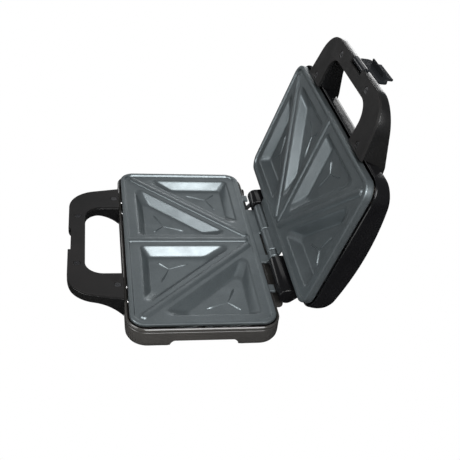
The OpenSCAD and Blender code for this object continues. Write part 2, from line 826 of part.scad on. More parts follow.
module vent_slot(l, w) {
    linear_extrude(floor_plate_t + 2 * past) {
        square([l - w, w], center = true);
        for (x = [-1, 1]) translate([x * (l - w) / 2, 0]) circle(w / 2, $fn = fine);
    }
}

module base_housing() {
    slot_l = 24;
    slot_w = 3;
    slot_pitch = 36;
    slot_row = 24;
    color([0.1, 0.085, 0.075]) in_base() difference() {
        union() {
            base_shell();
            for (p = plate_posts) translate([p[0], p[1], floor_low_z])
                cylinder(h = post_z - sheet_t - floor_low_z, r = socket_r + boss_t, $fn = fine);
        }
        for (p = plate_posts) translate([p[0], p[1], floor_low_z]) {
            cylinder(h = through, r = screw_r + self_tap, center = true, $fn = fine);
            translate([0, 0, -past]) cylinder(h = past + screw_head_h, r = socket_r, $fn = fine);
        }
        foot_spots() translate([0, 0, base_foot_z - past])
            cylinder(h = foot_seat + past, r = foot_r + seat, $fn = fine);
        for (x = [-2:2], y = [-1, 1])
            translate([x * slot_pitch, y * slot_row, floor_low_z - past]) vent_slot(slot_l, slot_w);
        translate([gland_x, wy, gland_z]) rotate([90, 0, 0]) {
            cylinder(h = 4 * wall, r = gland_r + seat, center = true, $fn = fine);
            translate([0, 0, wall]) cylinder(h = gland_ring_t + seat, r = gland_ring_r + seat, $fn = fine);
        }
        sleeve_place() cylinder(h = through / 2, r = sleeve_r + seat, center = true, $fn = fine);
        wall_holes(bolt_z_low);
    }
}

// Holes in a housing's front wall for the screws of its handle
module wall_holes(z) {
    for (s = [-1, 1], x = bolt_spots) translate([s * x, -wy, z]) rotate([90, 0, 0])
        cylinder(h = 4 * wall, r = screw_r + self_tap, center = true, $fn = fine);
}

module rubber_feet() {
    color([0.05, 0.05, 0.05]) in_base() foot_spots()
        translate([0, 0, rest_z]) cylinder(h = foot_seat + foot_drop, r = foot_r, $fn = fine);
}

module lower_plate_screws() {
    color([0.7, 0.7, 0.7]) in_base() for (p = plate_posts)
        translate([p[0], p[1], floor_low_z]) {
            cylinder(h = screw_head_h, r = screw_head_r, $fn = fine);
            cylinder(h = post_z - floor_low_z + 5, r = screw_r - screw_play, $fn = fine);
        }
}

module cord_gland() {
    tail = 3;
    nose = 2;
    collar_t = 1.6;
    color([0.06, 0.06, 0.06]) in_base() translate([gland_x, wy, gland_z])
        rotate([-90, 0, 0]) difference() {
            union() {
                translate([0, 0, -wall - tail])
                    cylinder(h = wall + tail + nose, r = gland_r, $fn = fine);
                cylinder(h = collar_t, r = collar_r, $fn = fine);
                translate([0, 0, -wall - gland_ring_t])
                    cylinder(h = gland_ring_t, r = gland_ring_r, $fn = fine);
            }
            cylinder(h = through, r = gland_bore_r, center = true, $fn = fine);
        }
}

// The lead sleeve points from the rear wall to the hinge axis
module sleeve_place() {
    translate([sleeve_x, wy, sleeve_out_z]) rotate([bearing(sleeve_dir) - 90, 0, 0]) children();
}

module lead_sleeve() {
    inner = wall + 2;
    color([0.75, 0.72, 0.62]) in_base() sleeve_place() difference() {
        translate([0, 0, -inner]) cylinder(h = norm(sleeve_dir) + inner, r = sleeve_r, $fn = fine);
        cylinder(h = through, r = sleeve_r * 0.6, center = true, $fn = fine);
    }
}

module hinge_pin() {
    color([0.75, 0.75, 0.76]) in_base() translate([0, hinge_y, hinge_z])
        rod_x(knuckle_a_x + 2, knuckle_d_x + 3.4, hinge_pin_r);
}

module hinge_pin_clips() {
    clip_r = hinge_pin_r + 1.3;
    color([0.62, 0.62, 0.63]) in_base() translate([0, hinge_y, hinge_z]) difference() {
        union() {
            rod_x(knuckle_d_x + 0.1, knuckle_d_x + 0.9, clip_r);
            rod_x(knuckle_d_x + 1.5, knuckle_d_x + 2.4, clip_r - 0.4);
        }
        rod_x(knuckle_d_x - past, knuckle_d_x + 3 + past, hinge_pin_r + pin_clear);
    }
}

// ---- Lid housing ---------------------------------------------------------

// Removes the corner between the wall at yw and the crown's arc of radius arc_r
module crown_corner(arc_r, yw, r) {
    inward = yw < 0 ? r : -r;
    fy = yw + inward;
    fz = crown_c + sqrt(pow(arc_r - r, 2) - pow(fy - crown_y, 2));
    dir = ([fy, fz] - [crown_y, crown_c]) / (arc_r - r);
    outward = yw + (yw < 0 ? -through : through);
    difference() {
        polygon([[fy, fz], [fy, fz] + dir * through, [outward, fz + through], [outward, fz]]);
        translate([fy, fz]) circle(r, $fn = fine);
    }
}

// The lid seen from its side, drawn in by inset
module lid_profile(inset) {
    y0 = -wy + inset;
    y1 = wy - inset;
    arc_r = crown_r - inset;
    difference() {
        polygon(concat([[y1, 0], [y0, 0]], [for (i = [0:24])
            let (y = y0 + (y1 - y0) * i / 24)
            [y, crown_c + sqrt(arc_r * arc_r - pow(y - crown_y, 2))]]));
        crown_corner(arc_r, y0, max(0.6, lid_front_r - inset));
        crown_corner(arc_r, y1, lid_rear_r - inset);
    }
}

module lid_solid(inset, z0) {
    intersection() {
        slab(house_w - 2 * inset, house_d - 2 * inset, housing_corner_r - inset, z0, through);
        along_x(-wx - past, wx + past) lid_profile(inset);
    }
}

// The two hinge covers and the arms that join them to the lid's rear wall
module hinge_cover_profile(top_z) {
    c = [hinge_y, hinge_z];
    top = [wy, top_z];
    low = [wy, lid_rim + wall / 2];
    a_top = bearing(top - c) - acos(cover_r / norm(top - c));
    a_low = bearing(low - c) + acos(cover_r / norm(low - c));
    polygon([[wy - wall / 2, top_z], top, c + cover_r * [cos(a_top), sin(a_top)], c,
        c + cover_r * [cos(a_low), sin(a_low)], low, [wy - wall / 2, lid_rim + wall / 2]]);
    translate(c) circle(cover_r, $fn = fine);
}

module hinge_covers() {
    along_x(cover_x0, cover_x1) hinge_cover_profile(lid_rim + cover_arm_h);
    along_x(-far_cover_x1, far_cover_x) hinge_cover_profile(lid_rim + cover_arm_h);
}

// Room inside one cover for the lead sleeve, over the whole swing of the lid
module sleeve_room() {
    room_r = cover_r - 2;
    spare = 32;
    a0 = bearing(-sleeve_dir) - spare;
    translate([0, hinge_y, hinge_z]) {
        rod_x(-far_cover_x1 + 2, far_cover_x - 2, room_r);
        translate([sleeve_x - sleeve_r - 1, 0, 0]) rotate([90, 0, 90])
            linear_extrude(2 * sleeve_r + 2)
            polygon(concat([[0, 0]], arc([0, 0], cover_r + 4, a0, a0 + lid_open + 2 * spare, 12)));
    }
}

module lid_posts() {
    for (p = plate_posts) translate([p[0], p[1], closed_gap - post_z + sheet_t])
        difference() {
            cylinder(h = through, r = socket_r + boss_t, $fn = fine);
            translate([0, 0, -past])
                cylinder(h = 2 * past + screw_head_h, r = socket_r, $fn = fine);
        }
}

module lid_lens_spots() {
    for (s = [-1, 1]) translate([s * lens_x, lens_spot_y, lid_lens_z]) children();
}

module lid_housing() {
    lip_r = wall / 2;
    color([0.04, 0.04, 0.045]) in_lid() {
        difference() {
            union() {
                difference() {
                    union() {
                        lid_solid(0, lid_rim + lip_r);
                        bead(house_w - wall, house_d - wall, housing_corner_r - lip_r,
                            lip_r, lid_rim + lip_r);
                    }
                    lid_solid(wall, 0);
                }
                hinge_covers();
                intersection() {
                    lid_posts();
                    lid_solid(wall - eps, 0);
                }
            }
            sleeve_room();
            lid_lens_spots()
                cylinder(h = 8 * wall, r = lens_r + seat, center = true, $fn = fine);
            wall_holes(bolt_z_up);
        }
    }
}

module upper_plate_screws() {
    color([0.7, 0.7, 0.7]) in_lid() translate([0, 0, closed_gap]) mirror([0, 0, 1])
        for (p = plate_posts) translate([p[0], p[1], post_z - sheet_t - screw_head_h]) {
            cylinder(h = screw_head_h, r = screw_head_r, $fn = fine);
            cylinder(h = screw_head_h + sheet_t + 5, r = screw_r - screw_play, $fn = fine);
        }
}

module lens() {
    proud = 0.2;
    dome = 0.8;
    translate([0, 0, -wall - 1]) cylinder(h = wall + 1 + proud, r = lens_r, $fn = fine);
    translate([0, 0, proud]) cylinder(h = dome, r1 = lens_r, r2 = lens_r - dome, $fn = fine);
}

module power_lens() {
    color([0.7, 0.05, 0.04]) in_lid() translate([-lens_x, lens_spot_y, lid_lens_z]) lens();
}

module ready_lens() {
    color([0.06, 0.5, 0.12]) in_lid() translate([lens_x, lens_spot_y, lid_lens_z]) lens();
}

module indicator_lamps() {
    lamp_r = 2.2;
    lamp_l = 6.5;
    color([0.9, 0.88, 0.8]) in_lid() lid_lens_spots()
        translate([0, 0, -wall - 1 - seat - lamp_l]) {
            cylinder(h = lamp_l - lamp_r, r = lamp_r, $fn = fine);
            translate([0, 0, lamp_l - lamp_r]) sphere(lamp_r, $fn = fine);
        }
}

// ---- Handles -------------------------------------------------------------

// Plan of a handle: straight flanks that run into two big front corners
module handle_plan() {
    root = [handle_root_x, -wy];
    c = [handle_corner_x, corner_y];
    a = bearing(root - c) - acos(handle_corner_r / norm(root - c));
    half = concat([root], arc(c, handle_corner_r, a, -90, 24));
    difference() {
        polygon(concat(half, [for (i = [len(half) - 1:-1:0]) [-half[i][0], half[i][1]]]));
        translate([-grip_half_w, grip_y]) square([2 * grip_half_w, handle_reach + past]);
        translate([-grip_x, grip_y - grip_r]) square([2 * grip_x, handle_reach]);
        for (x = [-1, 1]) translate([x * grip_x, grip_y]) circle(grip_r, $fn = fine);
    }
}

// Side view of the lower handle, hollowed underneath for the fingers
module lower_handle_profile(top_z) {
    r = handle_edge_r;
    start_y = front_y + under_start;
    end_a = acos((-wy - start_y) / under_r);
    polygon(concat([[-wy, top_z], [front_y, top_z]],
        arc([front_y + r, lower_under_z + r], r, 180, 270, 8),
        arc([start_y, lower_under_z - under_r], under_r, 90, end_a, 16)));
}

// Side view of the upper handle; its outer face climbs towards the lid
module upper_handle_profile(low_z) {
    polygon([[-wy, low_z], [front_y, low_z], [front_y, upper_front_z - 2.2],
        [front_y + 0.6, upper_front_z - 0.7], [front_y + 2, upper_front_z + 2 * upper_rise],
        [-wy, upper_root_z]]);
}

// The handle's arms run out in wedges on the lid's crown
module handle_wedge() {
    l = 18;
    h = 8;
    both_sides() along_x(grip_half_w, handle_root_x) translate([-wy, upper_root_z])
        polygon([[0, -h], [0, 0], [l / 3, 0.9], [2 * l / 3, 0.4], [l, -1.4], [l, -h]]);
}

module catch_notch() {
    translate([-catch_half_w, front_y - past, -through])
        cube([2 * catch_half_w, catch_depth + past, 2 * through]);
}

module latch_notch() {
    translate([-notch_half_w, front_y - past, -through])
        cube([2 * notch_half_w, notch_back_y - front_y + past, 2 * through]);
}

module at_handle_screws() {
    both_sides() for (p = screw_spots) translate([p[0], p[1], 0]) children();
}

module lower_handle() {
    top = lower_face_z - cover_t;
    color([0.045, 0.045, 0.05]) in_base() difference() {
        intersection() {
            translate([0, 0, -through]) linear_extrude(2 * through) handle_plan();
            along_x(-handle_root_x, handle_root_x) lower_handle_profile(top);
        }
        catch_notch();
        at_handle_screws() translate([0, 0, top - cover_screw_l - 0.4])
            cylinder(h = through, r = screw_r - self_tap, $fn = fine);
        bolt_holes(bolt_z_low);
    }
}

module lower_handle_cover() {
    top = lower_face_z;
    color([0.06, 0.06, 0.065]) in_base() difference() {
        translate([0, 0, top - cover_t]) linear_extrude(cover_t) handle_plan();
        catch_notch();
        at_handle_screws() {
            cylinder(h = through, r = screw_r + self_tap, center = true, $fn = fine);
            translate([0, 0, top - cover_t + cover_seat])
                cylinder(h = through, r = socket_r, $fn = fine);
        }
    }
}

// Cover screws in a lower handle's own frame, heads up, face at z = 0
module cover_screw() {
    head_t = cover_t - cover_seat - 0.3;
    cross_l = 3;
    cross_w = 0.6;
    translate([0, 0, cover_seat - cover_t]) difference() {
        union() {
            cylinder(h = head_t, r = screw_head_r, $fn = fine);
            translate([0, 0, -cover_screw_l])
                cylinder(h = cover_screw_l + eps, r = screw_r - screw_play, $fn = fine);
        }
        for (a = [0, 90]) rotate([0, 0, a])
            translate([-cross_l / 2, -cross_w / 2, head_t - cross_w])
            cube([cross_l, cross_w, past + cross_w]);
    }
}

module bolt_holes(z) {
    for (s = [-1, 1], x = bolt_spots) translate([s * x, -wy + past, z])
        rotate([90, 0, 0]) cylinder(h = bolt_l + past, r = screw_r - self_tap, $fn = fine);
}

// Screws through the housing's front wall into the handle's root
module root_bolts(z) {
    for (s = [-1, 1], x = bolt_spots) translate([s * x, -wy + wall, z]) rotate([90, 0, 0]) {
        translate([0, 0, -eps])
            cylinder(h = wall + bolt_l - 1, r = screw_r - screw_play, $fn = fine);
        translate([0, 0, -screw_head_h]) cylinder(h = screw_head_h, r = screw_head_r, $fn = fine);
    }
}

module lower_handle_screws() {
    color([0.2, 0.2, 0.2]) in_base() at_handle_screws()
        translate([0, 0, lower_face_z]) cover_screw();
}

module lower_handle_bolts() {
    color([0.7, 0.7, 0.7]) in_base() root_bolts(bolt_z_low);
}

module upper_handle() {
    low = upper_face_z + cover_t;
    color([0.045, 0.045, 0.05]) in_lid() difference() {
        union() {
            intersection() {
                linear_extrude(through) handle_plan();
                along_x(-handle_root_x, handle_root_x) upper_handle_profile(low);
            }
            difference() {
                handle_wedge();
                lid_solid(0, 0);
            }
        }
        latch_notch();
        at_handle_screws() translate([0, 0, low - past])
            cylinder(h = cover_screw_l + 0.4 + past, r = screw_r - self_tap, $fn = fine);
        bolt_holes(bolt_z_up);
        translate([0, pivot_y, pivot_z])
            rod_x(-latch_pin_end - seat, latch_pin_end + seat, latch_pin_r + pin_clear);
    }
}

module upper_handle_cover() {
    low = upper_face_z;
    color([0.06, 0.06, 0.065]) in_lid() difference() {
        translate([0, 0, low]) linear_extrude(cover_t) handle_plan();
        latch_notch();
        at_handle_screws() {
            cylinder(h = through, r = screw_r + self_tap, center = true, $fn = fine);
            translate([0, 0, low - past])
                cylinder(h = past + cover_t - cover_seat, r = socket_r, $fn = fine);
        }
    }
}

module upper_handle_screws() {
    color([0.2, 0.2, 0.2]) in_lid() at_handle_screws()
        translate([0, 0, upper_face_z]) mirror([0, 0, 1]) cover_screw();
}

module upper_handle_bolts() {
    color([0.7, 0.7, 0.7]) in_lid() root_bolts(bolt_z_up);
}

// ---- Latch ---------------------------------------------------------------

module latch_pin() {
    color([0.75, 0.75, 0.76]) in_lid() translate([0, pivot_y, pivot_z])
        rod_x(-latch_pin_end, latch_pin_end, latch_pin_r);
}

// Drawn latched, round its pivot: the flap hangs down in front of the handles
module latch_lever() {
    hook_end = pivot_inset + 0.6;
    color([0.05, 0.05, 0.055]) in_latch() difference() {
        union() {
            along_x(-hub_w, hub_w) {
                circle(hub_r, $fn = fine);
                polygon([[0, hub_r], [-hub_r, 0], [-flap_out, -shoulder_s],
                    [-flap_in, -shoulder_s], [-hub_r * 0.6, -hub_r * 0.8], [0, -hub_r * 0.9]]);
            }
            flap();
            along_x(-hook_w, hook_w) polygon([[-flap_in - eps, -hook_s],
                [hook_end, -hook_s], [hook_end, -hook_s - 1.2],
                [-flap_in - eps, -hook_s - hook_t - 1.4]]);
        }
        rod_x(-hub_w - past, hub_w + past, latch_pin_r + pin_clear);
    }
}

// The finger flap: wide shoulders with round corners and a narrower ribbed tab
module flap() {
    r = 4;
    rib_r = 0.45;
    rib_pitch = 1.6;
    shoulder_end = hook_s + hook_t - r;
    mid = -(flap_in + flap_out) / 2;
    translate([0, -flap_in, 0]) rotate([90, 0, 0]) linear_extrude(flap_t) {
        translate([-flap_half_w, -shoulder_end])
            square([2 * flap_half_w, shoulder_end - shoulder_s - r]);
        translate([-flap_half_w + r, -shoulder_end - r])
            square([2 * (flap_half_w - r), shoulder_end - shoulder_s + r]);
        for (x = [-1, 1]) {
            translate([x * (flap_half_w - r), -shoulder_s - r]) circle(r, $fn = fine);
            translate([x * (flap_half_w - r), -shoulder_end]) circle(r, $fn = fine);
        }
        translate([-tab_w, -tip_s + flap_t / 2]) square([2 * tab_w, tab_l + r]);
    }
    translate([0, mid, -tip_s + flap_t / 2]) rod_x(-tab_w, tab_w, flap_t / 2);
    for (i = [0:2]) translate([0, -flap_out, -tip_s + flap_t + rib_pitch * i])
        rod_x(-tab_w + 2, tab_w - 2, rib_r);
}

base_housing();
lower_plate();
lower_element();
lower_element_straps();
lower_reflector();
lower_plate_screws();
lower_thermostat();
thermal_fuse();
terminal_block();
lower_handle();
lower_handle_cover();
lower_handle_screws();
lower_handle_bolts();
rubber_feet();
hinge_pin();
hinge_pin_clips();
cord_gland();
lead_sleeve();
lid_housing();
upper_plate();
upper_element();
upper_element_straps();
upper_reflector();
upper_plate_screws();
upper_thermostat();
upper_handle();
upper_handle_cover();
upper_handle_screws();
upper_handle_bolts();
power_lens();
ready_lens();
indicator_lamps();
latch_pin();
latch_lever();
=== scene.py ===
"""Looks of the sandwich toaster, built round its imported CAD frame."""
import json
import math

import bmesh
import bpy
import numpy as np
from mathutils import Matrix, Vector


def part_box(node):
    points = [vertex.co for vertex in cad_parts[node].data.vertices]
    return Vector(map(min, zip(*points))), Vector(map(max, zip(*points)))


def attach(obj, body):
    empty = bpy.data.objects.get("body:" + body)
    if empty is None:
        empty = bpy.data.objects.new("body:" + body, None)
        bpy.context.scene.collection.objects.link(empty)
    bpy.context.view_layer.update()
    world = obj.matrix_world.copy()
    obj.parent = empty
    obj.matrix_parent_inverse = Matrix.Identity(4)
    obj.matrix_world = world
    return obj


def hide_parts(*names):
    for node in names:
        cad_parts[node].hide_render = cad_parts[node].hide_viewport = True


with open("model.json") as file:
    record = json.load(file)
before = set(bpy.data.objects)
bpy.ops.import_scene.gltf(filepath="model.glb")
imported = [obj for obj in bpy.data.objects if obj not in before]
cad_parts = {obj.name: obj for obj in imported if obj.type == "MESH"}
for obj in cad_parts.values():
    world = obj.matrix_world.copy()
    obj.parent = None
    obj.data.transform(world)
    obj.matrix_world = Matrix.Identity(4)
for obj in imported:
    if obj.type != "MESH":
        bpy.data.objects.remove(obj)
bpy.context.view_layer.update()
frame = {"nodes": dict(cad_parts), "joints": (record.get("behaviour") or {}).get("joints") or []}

# ---- Base housing -----------------------------------------------------------
# The moulded tub under the lower plate, brown-black semi-gloss plastic. Five screws
# hold the plate's posts to its floor, and it stands on four rubber pads.

# All shapes are drawn in millimetres with the lid shut, from the middle of the
# lower plate's rim plane. One matrix carries those of the base to their places,
# and another, set with the upper plate, those of the open lid.
MM = 0.001
HOUSE_X, HOUSE_Y, HOUSE_R = 120.2, 63.45, 18.0  # outer half sizes and corner radius
WALL = 2.4
LIP_TOP, LIP_R, LIP_POWER = -3.2, 1.2, 1.6
GROOVE_Z, GROOVE_R, GROOVE_DEPTH = -6.5, 0.62, 0.6
FACE_TOP = -10.5  # the last height on the outer face under the groove
FOOT_Z, FOOT_ROUND = -23.8, 7.0
ARCH_R = 5.5
FRONT_ARCH = (72.2, 3.9)  # half width and height
SIDE_ARCH = (28.0, 8.6, 5.3)  # half width, height and flare of the legs
FOOT_X, FOOT_Y = 103, 46.2  # the foot blocks' centres
FLOOR_INSET, FLOOR_LOW, FLOOR_HIGH = 1.6, -17.0, -14.8
SHELF_X, SHELF_Y = 19, 65.25  # the centre of the shelf behind the hinge
SLAB_EASE = 0.4

house_low, house_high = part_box("base_housing")
IN_BASE = Matrix.Translation(
    (0, house_low.y + HOUSE_Y * MM, house_high.z - LIP_TOP * MM)) @ Matrix.Scale(MM, 4)


def lattice(rows, cols, wrap_rows=False, wrap_cols=False, flip=False):
    """Quads that join a lattice of rows x cols points. They face the side from which rows go
    up and columns go right, unless flipped."""
    i, j = np.meshgrid(
        np.arange(rows - (not wrap_rows)), np.arange(cols - (not wrap_cols)), indexing="ij")
    up, right = (i + 1) % rows, (j + 1) % cols
    quads = np.stack([i * cols + j, i * cols + right, up * cols + right, up * cols + j], -1)
    quads = quads.reshape(-1, 4)
    return quads[:, ::-1] if flip else quads


def sheet_part(points, wrap_rows=False, wrap_cols=False, flip=False):
    """A surface given as an array of points, rows x cols x 3, with its quads."""
    rows, cols = points.shape[:2]
    return points.reshape(-1, 3), lattice(rows, cols, wrap_rows, wrap_cols, flip)


def capped_part(points):
    """A tube given as closed rings of points, rows x cols x 3, with its quads and the flat
    faces that cap its ends."""
    v, quads = sheet_part(points, wrap_cols=True)
    ring = np.arange(points.shape[1])
    return v, quads, ring[::-1], len(v) - len(ring) + ring


def make_piece(name, parts, placed, body, material, stands_for, outward=True):
    """One mesh object out of several parts, in its rest place at the world's origin. With
    outward its points are welded and its faces turned outwards."""
    verts, faces, start = [], [], 0
    for points, quads, *caps in parts:
        verts.append(points)
        faces += (quads + start).tolist()
        faces += [(cap + start).tolist() for cap in caps]
        start += len(points)
    verts = np.concatenate(verts)
    m = np.array(placed)
    mesh = bpy.data.meshes.new(name)
    mesh.from_pydata(verts @ m[:3, :3].T + m[:3, 3], [], faces)
    if outward:
        bm = bmesh.new()
        bm.from_mesh(mesh)
        bmesh.ops.remove_doubles(bm, verts=bm.verts, dist=1e-6)
        bmesh.ops.recalc_face_normals(bm, faces=bm.faces)
        bm.to_mesh(mesh)
        bm.free()
    mesh.shade_smooth()
    mesh.set_sharp_from_angle(angle=math.radians(35))
    mesh.materials.append(material)
    piece = bpy.data.objects.new(name, mesh)
    bpy.context.scene.collection.objects.link(piece)
    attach(piece, body)
    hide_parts(*stands_for)


def side_stations(end, count, marks):
    """Places along a straight side from -end to end: evenly spaced ones, and the marks on
    both sides of the middle."""
    even = np.linspace(-end, end, count)
    return np.unique(np.round(np.concatenate([even, marks, -np.asarray(marks)]), 4))


def outline_loop(half_x, half_y, radius, x_marks=(), y_marks=(), turns=14):
    """Points and outward normals round a rounded rectangle, anticlockwise: four straight
    sides, cut at their stations and joined by quarter circles."""
    ex, ey = half_x - radius, half_y - radius
    xs, ys = side_stations(ex, 41, x_marks), side_stations(ey, 21, y_marks)
    sides = [(ys, half_x), (xs[::-1], half_y), (ys[::-1], -half_x), (xs, -half_y)]
    outward = np.array([[1.0, 0.0], [0.0, 1.0], [-1.0, 0.0], [0.0, -1.0]])
    corners = np.array([[ex, ey], [-ex, ey], [-ex, -ey], [ex, -ey]])
    quarter = np.linspace(0, math.pi / 2, turns + 1)[1:-1]
    points, normals = [], []
    for k, (side, across) in enumerate(sides):
        level = np.full_like(side, across)
        points.append(np.stack([level, side] if k % 2 == 0 else [side, level], -1))
        normals.append(np.tile(outward[k], (len(side), 1)))
        angle = quarter + k * math.pi / 2
        turn = np.stack([np.cos(angle), np.sin(angle)], -1)
        points.append(corners[k] + radius * turn)
        normals.append(turn)
    return np.concatenate(points), np.concatenate(normals)


def swept(points, normals, inset, height):
    """A profile carried round an outline: row i lies inset[i] inside it, at height[i]."""
    inset, height = np.broadcast_arrays(np.asarray(inset, float), np.asarray(height, float))
    if inset.ndim == 1:
        inset, height = inset[:, None], height[:, None]
    flat = points[None] - inset[..., None] * normals[None]
    z = np.broadcast_to(height, flat.shape[:2])
    return np.concatenate([flat, z[..., None]], -1)


def arch_height(t, half_width, height, flare=None):
    """Lower edge of a wall at a distance t from an arch's middle: level at the crown, then a
    fillet, then a leg that flares down to the foot, or none where the fillet reaches it."""
    crown = FOOT_Z + height
    t = np.abs(t) - (half_width - ARCH_R)
    fillet = crown - ARCH_R + np.sqrt(ARCH_R ** 2 - np.clip(t, 0, ARCH_R) ** 2)
    leg = crown - ARCH_R - (t - ARCH_R) * (height - ARCH_R) / flare if flare else FOOT_Z
    return np.maximum(np.where(t <= ARCH_R, fillet, leg), FOOT_Z)


# Stations along the arches' fillets, and past them down the legs
bend = ARCH_R * np.sin(np.radians(np.linspace(0, 90, 9)))
front_marks = np.concatenate([FRONT_ARCH[0] - ARCH_R + bend[:-1], [71.96, 72.3, 74, 78, 84]])
side_marks = np.concatenate([SIDE_ARCH[0] - ARCH_R + bend, [28.4, 29.5, 31, 32.4, 33.3, 34, 36]])
loop, loop_n = outline_loop(HOUSE_X, HOUSE_Y, HOUSE_R, front_marks, side_marks)
on_side = np.abs(loop_n[:, 0]) > 0.999
on_front = np.abs(loop_n[:, 1]) > 0.999
low_edge = np.full(len(loop), FOOT_Z)
low_edge[on_side] = arch_height(loop[on_side, 1], *SIDE_ARCH)
low_edge[on_front] = arch_height(loop[on_front, 0], *FRONT_ARCH)


def drawn_in(z):
    """How far the outer face draws in near the foot: a quarter round."""
    up = np.clip(FOOT_Z + FOOT_ROUND - z, 0, FOOT_ROUND)
    return FOOT_ROUND - np.sqrt(FOOT_ROUND ** 2 - up ** 2)


def wall_rows():
    """The wall's profile at every point of the outline, as insets and heights: up the outer
    face, past the groove, over the lip and down inside. The groove is an arc. The lip is a
    half turn with its sine and cosine raised to a power, which eases it into two chamfers."""
    rise = np.array([0.0, 0.02, 0.05, 0.1, 0.2, 0.35, 0.55, 0.8, 1.0])[:, None]
    foot_ease = np.array([0.45, 0.1, 0, 0, 0, 0, 0, 0, 0])[:, None]
    outer_z = low_edge + rise * (FACE_TOP - low_edge)
    outer = drawn_in(outer_z) + foot_ease
    groove_turn = np.radians(np.linspace(-75, 75, 7))
    groove_z = GROOVE_Z + GROOVE_R * np.sin(groove_turn)
    groove = GROOVE_DEPTH * np.cos(groove_turn) - 0.05
    over = np.radians(np.linspace(0, 180, 17))
    over_cos = np.sign(np.cos(over)) * np.abs(np.cos(over)) ** LIP_POWER
    lip_z = LIP_TOP - LIP_R + LIP_R * np.sin(over) ** LIP_POWER
    middle_z = np.concatenate([groove_z, [-5.7, -4.6], lip_z, [-9.0]])
    middle = np.concatenate([groove, [0.0, 0.0], LIP_R - LIP_R * over_cos, [WALL]])
    inner_z = outer_z[::-1]
    inner = np.maximum(WALL, drawn_in(inner_z) + 1.0)
    every = np.ones(len(loop))
    insets = np.concatenate([outer, middle[:, None] * every, inner])
    heights = np.concatenate([outer_z, middle_z[:, None] * every, inner_z])
    return insets, heights


def slab_part(half_x, half_y, radius, z0, z1):
    """A flat closed slab: a profile with eased edges, swept round a rounded outline."""
    points, normals = outline_loop(half_x, half_y, radius, turns=8)
    near = SLAB_EASE * 0.3
    inset = [half_y * 0.5, SLAB_EASE, near, 0, 0, near, SLAB_EASE, half_y * 0.5]
    z = [z0, z0, z0 + near, z0 + SLAB_EASE, z1 - SLAB_EASE, z1 - near, z1, z1]
    return capped_part(swept(points, normals, [min(i, radius) for i in inset], z))


def moved(part, x, y):
    """A part shifted in plan."""
    return part[0] + np.array([x, y, 0]), *part[1:]


def new_material(name, rough, metallic=0.0, coat=0.0, specular=0.5):
    """A Principled material: itself, its node tree, its shader and the object's own
    coordinates in metres."""
    mat = bpy.data.materials.new(name)
    mat.use_nodes = True
    nt = mat.node_tree
    shader = nt.nodes["Principled BSDF"]
    shader.inputs["Roughness"].default_value = rough
    shader.inputs["Metallic"].default_value = metallic
    shader.inputs["Coat Weight"].default_value = coat
    shader.inputs["Coat Roughness"].default_value = 0.06
    shader.inputs["Specular IOR Level"].default_value = specular
    coords = nt.nodes.new("ShaderNodeTexCoord")
    return mat, nt, shader, coords.outputs["Object"]


def noise(nt, coords, scale, detail=4.0, rough=0.55, stretch=None):
    """Fractal noise of the object coordinates; stretch scales the axes first."""
    if stretch:
        m = nt.nodes.new("ShaderNodeMapping")
        m.inputs["Scale"].default_value = stretch
        nt.links.new(coords, m.inputs["Vector"])
        coords = m.outputs["Vector"]
    n = nt.nodes.new("ShaderNodeTexNoise")
    n.inputs["Scale"].default_value = scale
    n.inputs["Detail"].default_value = detail
    n.inputs["Roughness"].default_value = rough
    nt.links.new(coords, n.inputs["Vector"])
    return n.outputs["Fac"]


def spread(nt, value, low, high):
    """Maps a noise's middle range, 0.3 to 0.7, to the range low to high."""
    r = nt.nodes.new("ShaderNodeMapRange")
    for key, v in (("From Min", 0.3), ("From Max", 0.7), ("To Min", low), ("To Max", high)):
        r.inputs[key].default_value = v
    nt.links.new(value, r.inputs["Value"])
    return r.outputs["Result"]


def shades(nt, value, dark, light, start=0.3, stop=0.7):
    """A colour ramp from dark at start to light at stop."""
    ramp = nt.nodes.new("ShaderNodeValToRGB")
    for e, at, rgb in zip(ramp.color_ramp.elements, (start, stop), (dark, light)):
        e.position = at
        e.color = (*rgb, 1)
    nt.links.new(value, ramp.inputs["Fac"])
    return ramp.outputs["Color"]


def raised(nt, shader, *layers):
    """Bumps the surface by (height, strength, distance in metres) layers, one on the other."""
    normal = None
    for height, strength, distance in layers:
        b = nt.nodes.new("ShaderNodeBump")
        b.inputs["Strength"].default_value = strength
        b.inputs["Distance"].default_value = distance
        nt.links.new(height, b.inputs["Height"])
        if normal:
            nt.links.new(normal, b.inputs["Normal"])
        normal = b.outputs["Normal"]
    nt.links.new(normal, shader.inputs["Normal"])


def plastic(name, dark, light, rough, grain_depth, coat=0.0, grain_scale=2600, specular=0.5):
    """Moulded plastic: a cloudy tint, a slow sink wave, a fine tool grain, and roughness that
    varies with handling."""
    mat, nt, shader, coords = new_material(name, rough, coat=coat, specular=specular)
    cloud = noise(nt, coords, 22, 5)
    nt.links.new(shades(nt, cloud, dark, light), shader.inputs["Base Color"])
    handled = noise(nt, coords, 60, 6, 0.65)
    nt.links.new(spread(nt, handled, rough * 0.85, rough * 1.25), shader.inputs["Roughness"])
    sink, grain = noise(nt, coords, 28, 2), noise(nt, coords, grain_scale, 2)
    raised(nt, shader, (sink, 0.12, 0.0004), (grain, 0.5, grain_depth))
    return mat


